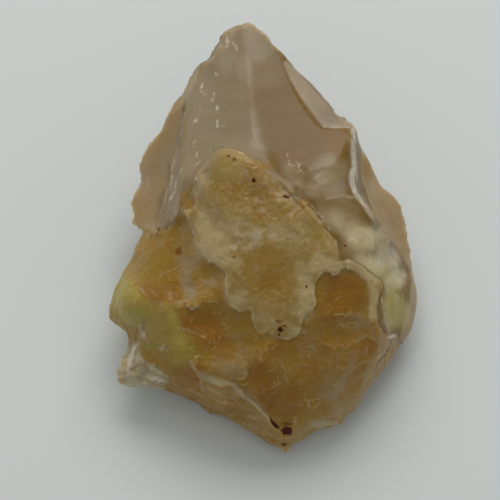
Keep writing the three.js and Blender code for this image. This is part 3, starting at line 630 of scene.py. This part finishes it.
# The underside.
under = 1 - front
height, size = stoneShape["underScallop"]
scallops = height * cups(warped + 40, size, 9) * blotches(9, 2, 13, -0.2, 0.4)
shape += under * (scallops + rough("underLump", 1, face, 3, 43))

# Relief on the front stands mostly towards the viewer, so the outline keeps its place.
push = np.where(front[:, None] > 0.5, faceOut * 0.6 + surface.normals() * 0.4, surface.normals())
surface.places += push * (shape / 1000)[:, None]
surface.iron(0.8 * ramp(0.55 - outwards, 0, 0.3), 3)

# Small chips off the crests.
crest = surface.relief(5)
height, size = stoneShape["crestChip"]
chips = ramp(crest, 0.02, 0.1) * blotches(size, 2, 101, -0.1, 0.4)
surface.places -= surface.normals() * (chips * height / 1000)[:, None]
surface.places = np.clip(surface.places, np.array(cadLow), np.array(cadHigh))
surface.writeBack()
print("stone shaped")

# Masks that the stone's finish reads: soft patches, strokes and areas.
crest = surface.relief(10)
for _ in range(2):
    crest = 0.5 * crest + 0.5 * surface.nearby(crest)
soft = face + 0.5 * wander


def paintOf(patches, strokes=()):
    return patched(soft, patches) + sum(stroke(soft, *what) for what in strokes)


plateauLine = ledges["plateau"] + [(22.4, -6.6), (19, -4.2), (16.2, -3.6)] + ledges["dome border"]
plateauArea = [where[:2] for where in plateauLine] + [(2.4, 12.6), (-0.4, 15.6), (-4.8, 17.6)]
floor = rind * ramp(-depthInside(ragged, plateauArea), -0.1, 0.5) * (1 - glassy)
floor = floor * (1 - patch(face, 0.8, -20, -17, 8, 9)) + 0.6 * ramp(depthInside(soft, basinArea), -0.4, 1.2)
shadedNook = ramp(depthInside(face, [(-15.5, 8.7), (-12.8, 8.6), (-13, 6), (-15.4, 6)]), -0.2, 0.2)
rustArea = [(4.1, -38), (4.6, -37.4), (6.3, -37.3), (6.2, -38.7), (4.8, -38.9)]
rustLine = stroke(flecked, 0.9, 0.34, (2.2, -35.9), (2.9, -36.8), (3.8, -37.6))
# Painted highlights on the glints, along the ledges' edges and on the rims' crests, with the bruised edge's
# own white.
paintedHighlightsAndBruise = glintMask + 0.3 * edgeHighlight * rind
paintedHighlightsAndBruise += 0.7 * rim * ramp(crest, 0.04, 0.12) * blotches(1.3, 2, 127, 0, 0.4)
paintedHighlightsAndBruise += bruised * (0.85 + 0.7 * fractal(face, 1.2, 2, 131))
# Painted shade along the bare faces' edges, where the surface turns edge-on; stronger near the point.
nearPoint = ramp(plan[:, 1], 30, 36)
edgeShade = (0.35 + 0.35 * nearPoint) * ramp(0.3 + 0.2 * nearPoint - outwards, 0, 0.3) * front * (1 - rind)
masks = {
    "rind": rind,
    "floor": floor,
    "veil": paintOf([], [
        (0.9, 3, (-9.6, 19), (-10.6, 15.6), (-12, 12), (-12.6, 9)),
        (0.5, 1.5, (-9, 18.4), (-4.6, 17.8), (-0.2, 15.8), (3.6, 11.8), (7.6, 8.2)),
    ]),
    "slab": slab * (1 - rind),
    "bandMask": band,
    # Crests, which the finish lightens as a painted highlight.
    "crest": ramp(crest, 0.03, 0.12) * (1 - glassy) * ramp(outwards, 0.15, 0.5),
    "granular": granular * rind,
    "skirt": skirtArea * ramp(fractal(streaky, 1.7, 3, 185), 0, 0.5),
    "under": under,
    "taupe": ramp(depthInside(soft, leftFaceArea), -1.2, 1.2) + patched(face, [
        (1.3, -1.6, 41.4, 7, 7.4), (0.4, 1, 34, 6, 6),
    ]),
    "olive": paintOf([
        (0.3, -7, 14, 3.6, 3.8), (0.2, -9.6, 9.6, 2.6, 5), (0.7, -22, -21, 4, 4), (0.6, -17.4, -15.4, 3, 4),
        (0.9, -15, -20.5, 6, 5), (1, -16, -27, 4.2, 3), (0.4, 10, 1, 3, 4), (0.4, -6, -18, 4, 3),
        (0.5, 20, -11, 3, 5), (0.4, 12, -35, 5, 2), (0.4, -20, -6, 5, 5), (0.4, 22, -12, 4, 7),
        (0.15, 6, -22, 5, 4), (0.5, 4.4, 5.6, 3, 4), (0.6, 12, 0, 2, 2),
    ]),
    "honey": paintOf([
        (0.5, -1.6, 8.4, 4, 3), (0.5, 0.4, 5.6, 3.4, 3), (0.12, 8, 16, 5, 4), (0.12, 15, 18, 3, 3),
        (0.5, 2, -8, 4.4, 3.2), (0.5, -5.4, 10.6, 5, 4), (0.9, 8.4, 7, 2, 1.4), (0.4, 6, 4, 4, 3),
        (0.6, -0.6, 14.4, 4, 1.8), (0.6, -20, -9.4, 6, 4), (0.3, -17, -6, 5, 5), (0.4, -8, -9.6, 4, 3),
        (0.2, -3.4, -22, 5, 4), (0.9, 19.6, -23.4, 4, 5), (0.6, 18.6, -28, 3, 4), (0.5, 9, -28, 5, 6),
        (0.9, 21.4, 14.6, 1.8, 4.6), (0.8, 6, -35, 4, 4), (0.6, 12, -24, 6, 6), (0.7, 15, -20, 6, 4),
        (0.6, 22.6, -12, 1.6, 4), (0.5, 8, -20, 3, 2), (0.7, 12, -33.6, 5, 2.6), (0.8, 22, -18, 3, 3),
        (1, -8, -31, 4, 2.4, -40), (0.7, -3, -34.6, 7, 2.6, -42), (0.9, -14, -28.4, 5, 2.4, -20),
        (0.6, -23, -10, 2.4, 1.8), (0.5, 2, 10, 3, 3), (0.5, -3, -5, 2, 1.6), (0.6, -16, -28.4, 3, 1.6),
    ]),
    # Umber: the amber brown of the hollows, with painted shade in the nook, at the ledges' feet and in the
    # cracks.
    "umber": paintOf([
        (0.15, -21, 20, 3, 6), (0.9, -18.2, -11, 4.4, 2.4), (0.7, -13, -24, 2.4, 1.8), (0.3, 0, 5, 3, 2),
        (0.5, -22.8, -9.8, 3, 2), (1.2, -12, -16.4, 6.4, 4.2), (0.9, -9, -20, 6, 4),
        (1.3, 17, -10.6, 6.6, 5.2), (0.9, 15, -14.6, 6, 4), (0.5, 2.2, -8.2, 3.4, 2.2),
        (1, 0.4, -27.4, 4.6, 5), (1.1, 1.4, -32, 3, 4), (0.9, 5.6, -31.4, 4, 5), (1, 21.4, -21.4, 3, 2),
        (0.8, 21.2, -25.6, 2, 1.4), (1, -12.8, -27, 2.4, 3), (0.6, 3.6, -21.4, 4, 2.6),
        (0.2, 12, -29.6, 5, 3), (1, -16, -2.2, 1.2, 1), (0.5, -7, -36, 7, 3.4, -35),
        (0.4, -14, -31, 6, 3, -15), (0.3, -5, -31, 5, 1.6, -40), (0.2, 8, -34.6, 5, 3),
        (0.5, -20.6, -30.4, 5, 2, -10), (1, -14.2, -26.2, 4, 3), (0.9, -20, 2, 0.6, 1.6),
        (0.1, 10, -22, 6, 5), (0.3, 8, 17, 6, 5), (0.2, 14, 18, 4, 4),
    ]) + 0.3 * shadedNook + 0.4 * footShade + crack,
    "grey": paintOf([
        (0.5, -4.6, 1.4, 5.6, 3.4), (0.4, -9, 3.4, 4, 4), (0.5, -1, -0.4, 2, 1.7), (0.5, 4, 1.6, 3.4, 2.6),
        (0.6, 13.6, 15.4, 4.4, 2.4), (0.4, -10, 6, 3, 3), (0.4, -8, -8, 2.4, 2),
        (0.5, -22.6, -20.4, 2.4, 2), (0.4, -1, -37, 3, 2), (0.4, 26.4, -21, 2, 2), (0.4, -19, 16, 2.4, 5),
        (0.5, -6.4, -25, 5, 2.6), (0.4, -3, -22.4, 3, 2.4), (0.8, 14, -22, 3.4, 2.8),
        (0.6, 13, -30.4, 3.4, 2.6), (0.8, -13.2, -5, 2.4, 3), (0.7, 6.2, 13.6, 2.6, 2.4),
        (0.35, -17.6, -20.4, 2.4, 2.6), (0.5, 12, 11, 6, 4), (0.3, 16, 8, 3, 2), (0.4, 10, -21, 4, 4),
        (0.4, -5, -19.4, 3, 2), (0.4, 14, -28, 5, 4), (0.5, 21.6, -17.8, 3, 3), (0.5, 19.6, -16, 2.4, 2),
        (0.5, 24, -20.4, 2.4, 2.4),
    ], [
        (1, 2, (-15.4, -4), (-14.8, -7), (-14, -10.4)), (0.5, 1, (17.8, -25), (16.4, -28), (15, -31)),
        (0.7, 0.7, (-17, 28.4), (-18.2, 26)), (0.7, 0.8, (-24.2, 15.4), (-24.8, 12.6)),
        (0.5, 0.5, (-18.6, 24.6), (-22.8, 17.8)),
    ]),
    # Rose tints; along the rib between the point's faces a painted highlight, and over the bevel a painted
    # reflection.
    "rose": paintOf([
        (0.5, -9.6, -8.6, 2, 1), (0.35, 8, 10.6, 1, 2.4), (0.3, 15.8, -33.6, 3, 3), (0.2, -11.6, -10, 3, 2),
        (0.25, 30.6, -13, 1.6, 6), (0.2, 28, 3, 3, 7, 20), (0.25, -3, 39, 7, 6), (0.5, -7, 36, 3, 4),
        (0.7, -3, 34, 2.4, 4), (0.3, -12, 29, 4, 7), (0.3, -19, 16, 2.2, 4), (0.45, -23, 12.6, 3, 6),
        (0.3, -22, 17.4, 2, 3), (0.5, 11, 13.4, 2.6, 2.2), (0.6, 14.6, 10, 3.4, 2.2),
        (0.5, 10.4, 9.4, 2.2, 2),
    ], [
        (0.2, 1.5, (-2.6, 31), (-1.9, 27), (-1, 23), (0, 19), (0.8, 16)),
        (0.25, 1.3, (18.4, -22.6), (18, -25), (16.4, -28), (15, -31)),
        (0.7, 0.9, (-11.8, -26.6), (-9.4, -27.4), (-7.6, -28.2), (-5.4, -28.8), (-3.8, -30), (-1, -32.6),
         (1, -34.8)),
    ]) + ramp(depthInside(face, bevelArea), -0.3, 0.3) * front,
    "cream": paintOf([
        (1.2, -10, -1, 5, 4.6), (1, -6.4, -4.4, 4.4, 2), (0.9, -11.6, 3, 2.4, 4), (0.6, -6.6, -9.6, 1.4, 3),
        (0.8, -5, -12.2, 3, 2), (1, 8.8, -10, 2.4, 3.8), (1, 9.2, -14, 2, 3), (0.6, 0.4, -15.4, 2, 1.4),
        (1, 13.4, -4.6, 4, 1.8), (0.6, 8.4, -6.6, 3, 3), (0.9, 6.6, -18, 2.2, 1.6),
        (0.5, 2, -16.6, 2.4, 1.4), (0.2, -5.4, -25.4, 4, 2), (0.2, -8.4, -30.8, 4, 1.4, -40),
        (1, -8.2, -28, 2.6, 1.3, -25), (0.9, 21.2, -6.9, 3.4, 1.2, -40), (0.9, 23, -10.4, 1.1, 3),
        (0.4, 6, 1, 6, 5), (0.6, -11.6, 12, 1.4, 3), (0.9, 11.6, -5, 2.6, 3), (0.15, 12.6, -1.6, 3, 3),
        (0.2, -15, -2.4, 3, 3), (0.5, 8, -13.4, 2.6, 3), (0.3, -5, 13.6, 3, 3), (0.5, -4, -11, 2.4, 2),
        (0.5, -8, -3, 2.4, 2),
    ], [
        (1, 1.5, (13.6, -5.4), (16, -4.6), (18.6, -5), (21, -6.6), (22.6, -9), (22.6, -12), (22.6, -15)),
    ]) * (0.3 + 0.7 * rind) * blotches(3.2, 3, 195, -1.3, 0.1) + 0.7 * brink,
    "lime": paintOf([
        (1.5, -26.4, -12.4, 5.4, 6.6), (-0.7, -22.8, -9.6, 3, 2.2), (1, -25.2, -15, 3, 2.4),
        (0.8, -22, -14.2, 2.6, 2.2), (0.9, -17.4, -15.4, 1.5, 3.4, 20), (0.5, -20, -17, 4, 4),
        (0.8, -17, -20.4, 2.8, 2.2), (0.6, -15.6, -23.4, 4, 3), (0.9, 27, -13.6, 3.4, 6.4),
        (0.25, 23.6, -6.8, 4, 3, -35), (0.35, -7.2, 13.4, 3, 2.2), (0.5, -16.4, -19.4, 3, 2.6),
        (0.3, -21.5, -20.6, 3, 2.6),
    ]),
    # Milky: the dome's milky tint, partly a painted reflection of the light. Below its crease runs a band of
    # painted shade, and above it a thin painted highlight.
    "milkyAndSheen": paintOf([
        (0.7, 18.6, 2.4, 7.4, 4.4, -40), (-0.5, 22, -2.8, 2.2, 1.6), (0.65, 20.8, -1.8, 7.4, 5.2, -40),
        (0.7, 22.4, -5, 5.4, 3.8), (0.5, 13.6, 4.6, 4.4, 3.8, -50), (0.2, 15, 7, 6, 4),
        (0.2, 11, 9.6, 4, 3), (0.5, 14.5, 13, 5, 5), (0.9, 26, -3.2, 3.6, 2.8, -50),
        (0.8, 27.4, -7.4, 2.6, 3), (0.4, 24.4, 1.4, 3, 2, -50), (0.8, 26, -9, 2.6, 2.6),
    ], [
        (-0.25, 2.4, (13.4, 6.6), (17, 5.2), (20.6, 3.6)),
        (0.5, 0.5, (13.3, 8.4), (16.9, 8.9), (18.9, 8.4), (21.3, 6), (24.9, 2)),
    ]) * (1 - rind) + paintOf([
        (0.7, -5.4, 2.6, 5, 2.6, -15), (0.8, -1.6, 1.4, 4, 1.6), (0.7, 1.6, 1, 3, 1.2),
        (0.6, -6.4, -2, 2.4, 2.6), (0.6, -10.6, 1, 1.4, 1.4), (0.8, -7, 39.6, 2.6, 1.6, 60),
        (0.2, -13.4, -12, 2, 1.6), (0.4, -10, -8.4, 3, 1),
    ], [
        (0.8, 1.1, (-5.4, -1.2), (-2.4, -1.4), (-0.8, 0.2), (1.4, 0.6), (4, 0.4), (5.8, 0)),
    ]) * blotches(1.6, 3, 125, -0.5, 0.4),
    "frost": glassy * (0.75 + 0.6 * fractal(face, 1.8, 3, 121)) + paintOf([
        (0.6, 12.6, -36.8, 4, 1.1), (0.5, 26.6, -19.4, 1.4, 0.8), (-0.5, -23.8, -26, 2.4, 2),
        (-0.35, -20, -28, 2.4, 1.6),
    ]),
    "rustMask": rustLine + ramp(depthInside(flecked, rustArea), -0.2, 0.25),
    # White of painted highlights, on the glints and the glassy corner's facets, and the bruised edge's own
    # white.
    "glintAndBruiseWhite": paintedHighlightsAndBruise + paintOf([
        (0.9, -23.4, -18.8, 1.2, 1), (0.8, -20.4, -28.2, 0.6, 0.6), (0.6, -19.6, -21.7, 0.5, 0.5),
    ], [
        (0.8, 0.9, (18.5, 14), (18.3, 11.6), (18.6, 10)),
        (0.9, 0.5, (-25.5, -21.4), (-25.9, -23.4), (-26.4, -26)),
        (0.9, 0.5, (-22.4, -27.2), (-20.8, -27.6), (-19.4, -28)),
        (0.6, 0.6, (-28.4, -27.3), (-26.4, -26.9), (-24.4, -26.8)),
        (0.5, 0.8, (-24.9, -23.4), (-24.4, -25)),
    ]),
    # Zones of painted sparkle: small cream glints as painted highlights, with darker umber flecks between.
    "paintedSparkle": paintOf([
        (1, 2.4, -10.5, 2, 1.3), (0.8, -0.6, -12.6, 1.6, 1), (1, -9, -20.6, 2, 2.2),
        (1, 16.8, -16.4, 3, 1.6), (1, 8.2, -22.6, 1.4, 1.4), (0.5, 3.3, -27.6, 2.2, 2.8),
        (1, -12.5, -23.7, 1.8, 1.4), (0.4, 10.5, -32.4, 1.6, 1.4), (0.8, -5.6, 7.5, 1.6, 1),
        (0.8, 7.6, 13.9, 1.6, 1.6), (0.8, 28.9, -7.4, 1.4, 1.6), (0.8, 1.6, 1, 3, 1.4),
        (0.7, -19, -21, 3, 3), (0.6, -16, -18, 3, 1.4), (0.7, 14, -25, 3, 1.6), (0.7, 14, -35.4, 5, 1.6),
        (0.6, 22, -14.6, 3, 1.4), (0.6, -10, -30, 4, 2, -40), (0.2, 6, -30, 4, 4), (0.5, 18, 4, 5, 3, -40),
    ]),
    # Paler paint on the dome's lower right, where that flank turns away from the window: painted light.
    "pearlPaintedLight": paintOf([
        (0.6, 22.4, -5.6, 5, 3, -40), (1, 26, -14, 2.2, 5.6), (0.6, 28, -14.6, 3, 4), (0.5, 27, -8, 3, 3),
        (0.3, 21.6, 1.4, 2, 1.4, -40),
    ]),
    "stripes": paintOf([], [
        (0.8, 0.7, (21.4, 16), (22.4, 11), (24.4, 6), (27, 1)), (0.25, 0.6, (24, 11), (26.6, 6), (28.4, 2)),
    ]),
    "edgeTan": paintOf([], [
        (0.85, 2.4, (27, -20.4), (24.6, -23.6), (22.4, -27.4), (20.6, -31), (18.4, -34), (15, -36.4),
         (11, -37.4), (8, -39), (5, -41.6)),
    ]),
    # Dark lines and painted shade, laid as dusk: the cracks' and edges' painted shade, two patches of
    # painted shade on faces that the window lights, and dark lines along the bevel and the right slab's
    # border.
    "darkLinesAndShade": crack + edgeShade + patch(face, 0.5, 8, 17, 7, 6) + patch(face, 0.4, 14, 24.6, 4, 3) + stroke(
        face, 0.7, 0.5, (4.8, 36.6), (8, 33.7), (11, 30.2), (13.6, 27.4), (15, 26),
    ) + stroke(face, 0.6, 0.6, (22.4, 4.8), (24.2, 2.8), (25.8, 0.8), (27.2, -1.4), (28.8, -4), (30, -6.2)),
}
for name, values in masks.items():
    surface.attribute(name, values)

stone = bpy.data.objects.new("stone", stoneMesh)
bpy.context.scene.collection.objects.link(stone)
for polygon in stoneMesh.polygons:
    polygon.use_smooth = True
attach(stone, "root")
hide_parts("agate")
stoneMesh.calc_loop_triangles()
print("triangles:", len(stoneMesh.loop_triangles))


# A socket that can be added, subtracted and multiplied.
class Wire:
    def __init__(self, board, socket):
        self.board, self.socket = board, socket

    def join(self, operation, other, swap=False):
        pair = (other, self) if swap else (self, other)
        return self.board.math(operation, *pair)

    def __add__(self, other):
        return self.join("ADD", other)

    def __sub__(self, other):
        return self.join("SUBTRACT", other)

    def __rsub__(self, other):
        return self.join("SUBTRACT", other, True)

    def __mul__(self, other):
        return self.join("MULTIPLY", other)

    __radd__, __rmul__ = __add__, __mul__


class Board:
    def __init__(self, name):
        self.material = bpy.data.materials.new(name)
        self.material.use_nodes = True
        self.tree = self.material.node_tree
        self.tree.nodes.clear()

    # Makes a node, sets its settings before its sockets, and returns a function that gives its outputs.
    def node(self, kind, inputs=None, settings=None):
        made = self.tree.nodes.new(kind)
        for name, value in (settings or {}).items():
            setattr(made, name, value)
        for key, value in (inputs or {}).items():
            if isinstance(value, Wire):
                self.tree.links.new(value.socket, made.inputs[key])
            else:
                made.inputs[key].default_value = value
        return lambda key: Wire(self, made.outputs[key])

    def math(self, operation, first, second=0.0):
        return self.node("ShaderNodeMath", {0: first, 1: second}, {"operation": operation})(0)

    def vector(self, operation, first, second, output="Vector"):
        return self.node("ShaderNodeVectorMath", {0: first, 1: second}, {"operation": operation})(output)

    def mask(self, name):
        return self.node("ShaderNodeAttribute", None, {"attribute_name": name})("Fac")

    def mix(self, factor, first, second, blend="MIX"):
        settings = {"data_type": "RGBA", "blend_type": blend, "clamp_factor": True}
        return self.node("ShaderNodeMix", {0: factor, 6: first, 7: second}, settings)(2)

    def between(self, value, low, high):
        settings = {"interpolation_type": "SMOOTHSTEP"}
        return self.node("ShaderNodeMapRange", {0: value, 1: low, 2: high}, settings)(0)

    def cloud(self, place, scale, detail=3.0, roughness=0.5, distortion=0.0, output="Fac"):
        return self.node("ShaderNodeTexNoise", {
            "Vector": place, "Scale": scale, "Detail": detail, "Roughness": roughness,
            "Distortion": distortion,
        })(output)


# The stone's finish.
stoneFinish = {
    "light": 0.64,           # how much of a colour the studio's light gives back on the face
    "sheen": 0.016,          # what the gloss adds to it
    "depthOfLight": 0.0035,  # how deep light goes into the stone, in metres
    "bumpDepth": 0.0003,
    "veinScale": 190,
    "veinBend": (0.006, 0.006, 0.006),
    "speckJitter": (0.0008, 0.0008, 0.0008),
    "seenColors": {  # red, green and blue as they show in the studio's light, from 0 to 255
        "brown": (105, 82, 41),
        "taupe": (129, 116, 92),
        "tan": (144, 124, 91),
        "rind": (138, 117, 70),
        "olive": (124, 107, 42),
        "honey": (132, 98, 39),
        "dun": (129, 109, 80),
        "umber": (128, 90, 22),
        "grey": (136, 124, 100),
        "rose": (147, 132, 112),
        "cream": (160, 144, 107),
        "lime": (143, 129, 64),
        "amber": (134, 104, 41),
        "milkyAndSheen": (168, 156, 126),
        "frost": (157, 150, 127),
        "pearlPaintedLight": (188, 176, 134),
        "glintAndBruiseWhite": (190, 180, 165),
        "dusk": (88, 70, 48),
        "rust": (70, 40, 16),
    },
}

# Dark dendrite specks: place on the face and radii in millimetres, and darkness.
specks = [
    (-6.2, 16.7, 0.45, 0.3, 0.6), (-5.1, 16.1, 0.5, 0.3, 0.45), (-1.4, 11.8, 0.42, 0.42, 1),
    (5.2, 8.6, 0.6, 0.36, 1), (8.4, 6.3, 0.5, 0.4, 0.35), (3.9, -17.7, 0.5, 0.5, 0.85),
    (4.8, -17, 0.5, 0.25, 0.7), (3.7, -18.8, 0.3, 0.3, 0.7), (3.7, -15.9, 0.7, 0.4, 0.35),
    (5.4, -36.7, 1, 0.6, 0.45), (3.2, -37, 0.4, 0.5, 0.9), (4.7, -40.8, 0.5, 0.45, 0.6),
    (16.8, -1.2, 0.25, 0.25, 0.8), (9.2, -9.2, 0.22, 0.22, 0.8), (-16.2, -2.2, 0.9, 0.7, 0.35),
    (-5.2, -3.4, 0.35, 0.35, 0.35), (-20.2, 2.2, 0.35, 0.8, 0.5),
]


def paint(name):
    def base(value):
        part = value / 255
        linear = part / 12.92 if part <= 0.04045 else ((part + 0.055) / 1.055) ** 2.4
        return min(1, max(0.002, (linear - stoneFinish["sheen"]) / stoneFinish["light"]))
    return tuple(base(value) for value in stoneFinish["seenColors"][name]) + (1,)


def onFront(x, y):
    away = np.hypot(plan[:, 0] - x, plan[:, 1] - y) + (outwards < 0.1) * 100
    return surface.places[int(np.argmin(away))]


def stoneMaterial():
    board = Board("agate")
    mask, between = board.mask, board.between
    place = board.node("ShaderNodeTexCoord")("Object")
    clouds = board.cloud(place, 150, 4, 0.55, 0.5)
    broadClouds = board.cloud(place, 90, 4, 0.6, 1)
    wisps = board.cloud(place, 380, 5, 0.6, 1.4)
    fine = board.cloud(place, 1300, 3, 0.6)
    mottle = board.cloud(place, 900, 3, 0.55, 0.6)
    sparks = board.cloud(place, 2300, 2, 0.5, 0.8)
    bend = board.vector("MULTIPLY", board.cloud(place, 260, 3, output="Color"), stoneFinish["veinBend"])
    veins = board.node("ShaderNodeTexVoronoi", {
        "Vector": board.vector("ADD", place, bend), "Scale": stoneFinish["veinScale"],
    }, {"feature": "DISTANCE_TO_EDGE"})("Distance")
    underside, onFloor = mask("under"), mask("floor")
    evenRind = (1 - mask("lime")) * mask("rind")

    # Layers of colour from the lowest up, and how much of those below it each one covers.
    color = paint("brown")
    for name, cover in [
        # The left face: its own taupe with a painted sheen.
        ("taupe", mask("taupe") * 0.95),
        ("tan", mask("slab")),
        ("rose", mask("stripes") * 0.6),
        ("amber", underside * between(clouds, 0.3, 0.65) * 0.8),
        ("grey", underside * between(broadClouds, 0.5, 0.7) * 0.7),
        ("rind", board.math("MAXIMUM", mask("rind"), underside * between(clouds, 0.6, 0.75))),
        ("amber", onFloor * (0.5 + 0.7 * clouds)),
        ("taupe", mask("veil") * (0.5 + 0.8 * wisps)),
        ("olive", mask("olive") * (0.55 + 0.6 * clouds)),
        ("milkyAndSheen", mask("milkyAndSheen") * (0.4 + 0.8 * wisps)),
        ("pearlPaintedLight", mask("pearlPaintedLight") * (0.3 + 0.9 * clouds)),
        ("grey", mask("grey") * (0.2 + 1.1 * wisps)),
        ("honey", mask("honey") * (0.4 + 0.9 * wisps)),
        ("honey", evenRind * between(mottle, 0.5, 0.64) * (0.3 + 0.1 * mask("granular"))),
        ("rose", evenRind * between(mottle, 0.5, 0.36) * (0.15 + 0.2 * mask("granular"))),
        ("umber", mask("umber") * (0.6 + 0.6 * clouds)),
        ("lime", mask("lime") * (0.55 + 0.7 * clouds)),
        ("tan", mask("edgeTan") * (0.25 + 0.8 * wisps)),
        ("cream", mask("skirt") * 0.55),
        ("rose", mask("rose") * (0.55 + 0.7 * wisps)),
        ("dun", mask("bandMask") * 0.85),
        ("rose", mask("bandMask") * between(wisps, 0.5, 0.62) * 0.35),
        ("cream", mask("cream") * (0.5 + 0.8 * wisps)),
        ("frost", mask("frost")),
        # Painted highlights on the crests: cream on the rind, milky on the bare faces.
        ("cream", mask("crest") * mask("rind") * 0.45),
        ("milkyAndSheen", mask("crest") * (1 - mask("rind")) * 0.35),
        # Painted shade and dark lines.
        ("dusk", mask("darkLinesAndShade") * 0.7),
        # Painted highlights, warm cream on the floors and white elsewhere, with the bruise's own white.
        ("cream", mask("glintAndBruiseWhite") * onFloor),
        ("glintAndBruiseWhite", mask("glintAndBruiseWhite") * (0.3 + 0.9 * fine - 0.85 * onFloor)),
        # Painted sparkle: cream glints and umber flecks.
        ("cream", mask("paintedSparkle") * between(sparks, 0.56, 0.68) * 0.9),
        ("umber", mask("paintedSparkle") * between(sparks, 0.42, 0.34) * 0.6),
        ("cream", evenRind * between(veins, 0.05, 0.0) * between(wisps, 0.5, 0.62) * 0.45),
    ]:
        color = board.mix(cover, color, paint(name))
    shade = (0.86 + 0.28 * clouds) * (0.93 + 0.14 * fine)
    shades = board.node("ShaderNodeCombineColor", {0: shade, 1: shade, 2: shade})(0)
    color = board.mix(1.0, color, shades, "MULTIPLY")

    jitter = board.vector("SUBTRACT", board.cloud(place, 1500, 2, output="Color"), (0.5, 0.5, 0.5))
    jittered = board.vector("ADD", place, board.vector("MULTIPLY", jitter, stoneFinish["speckJitter"]))
    dark = mask("rustMask")
    for x, y, radiusX, radiusY, strength in specks:
        offset = board.vector("SUBTRACT", jittered, tuple(onFront(x, y)))
        scaled = board.vector("MULTIPLY", offset, (1000 / radiusX, 1000 / radiusY, 1000 / radiusY))
        away = board.vector("LENGTH", scaled, (0, 0, 0), "Value")
        dark = board.math("MAXIMUM", between(away, 1.6, 0.4) * strength, dark)
    color = board.mix(between(dark, 0.0, 0.25) * 0.7, color, paint("umber"))

    grainy = board.cloud(place, 1100, 4, 0.62, 0.3)
    bump = board.node("ShaderNodeBump", {
        "Strength": 0.5,
        "Distance": stoneFinish["bumpDepth"],
        "Height": grainy * (0.25 + evenRind) + wisps * 0.8,
    })("Normal")
    shader = board.node("ShaderNodeBsdfPrincipled", {
        "Base Color": color,
        "Roughness": 0.26 + 0.2 * clouds,
        "IOR": 1.54,
        "Specular IOR Level": 0.25,
        "Subsurface Weight": 0.8,
        "Subsurface Radius": (1.0, 0.75, 0.45),
        "Subsurface Scale": stoneFinish["depthOfLight"],
        "Coat Weight": 0.15,
        "Coat Roughness": 0.08,
        "Normal": bump,
    })("BSDF")
    speck = board.node("ShaderNodeBsdfPrincipled", {
        "Base Color": paint("rust"), "Roughness": 0.45, "Specular IOR Level": 0.15,
    })("BSDF")
    mixed = board.node("ShaderNodeMixShader", {0: between(dark, 0.1, 0.8), 1: shader, 2: speck})(0)
    board.node("ShaderNodeOutputMaterial", {"Surface": mixed})
    return board.material


stoneMesh.materials.clear()
stoneMesh.materials.append(stoneMaterial())
print("finish made")


# Table, light and camera.
studio = {
    "tableColor": (0.745, 0.785, 0.77, 1),
    "skyColor": (0.96, 0.97, 0.96, 1),
    "skyStrength": 0.38,
    "lights": {  # power, size and place
        "window": (2.75, (0.62, 0.40), (0.02, 0.47, 0.55)),
        "lamp": (0.12, (0.05, 0.05), (-0.16, 0.24, 0.9)),
    },
    "pictureWidth": 0.1,     # what the camera takes in at the stone, in metres
    "cameraDistance": 1.2,
}

tableMesh = bpy.data.meshes.new("table")
tableMesh.from_pydata([(-3, -3, 0), (3, -3, 0), (3, 3, 0), (-3, 3, 0)], [], [(0, 1, 2, 3)])
table = bpy.data.objects.new("table", tableMesh)
bpy.context.scene.collection.objects.link(table)
table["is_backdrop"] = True
tableBoard = Board("pale table")
tableShader = tableBoard.node("ShaderNodeBsdfPrincipled", {
    "Base Color": studio["tableColor"], "Roughness": 0.7, "Specular IOR Level": 0.2,
})("BSDF")
tableBoard.node("ShaderNodeOutputMaterial", {"Surface": tableShader})
tableMesh.materials.append(tableBoard.material)

scene = bpy.context.scene
scene.world = bpy.data.worlds.new("soft room")
scene.world.use_nodes = True
background = scene.world.node_tree.nodes["Background"]
background.inputs["Color"].default_value = studio["skyColor"]
background.inputs["Strength"].default_value = studio["skyStrength"]
scene.view_settings.view_transform = "Standard"

for name, (power, size, place) in studio["lights"].items():
    light = bpy.data.lights.new(name, "AREA")
    light.shape = "RECTANGLE"
    light.size, light.size_y = size
    light.energy = power
    holder = bpy.data.objects.new(name, light)
    holder.location = place
    holder.rotation_euler = (-Vector(place)).to_track_quat("-Z", "Y").to_euler()
    scene.collection.objects.link(holder)

cameraData = bpy.data.cameras.new("camera")
cameraData.lens = cameraData.sensor_width * studio["cameraDistance"] / studio["pictureWidth"]
camera = bpy.data.objects.new("camera", cameraData)
camera.location = toWorld(-2, -2, 1000 * studio["cameraDistance"])
camera.rotation_euler = (faceFrame["lean"], 0, 0)
scene.collection.objects.link(camera)
scene.camera = camera

low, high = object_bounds()
print("scene ready")
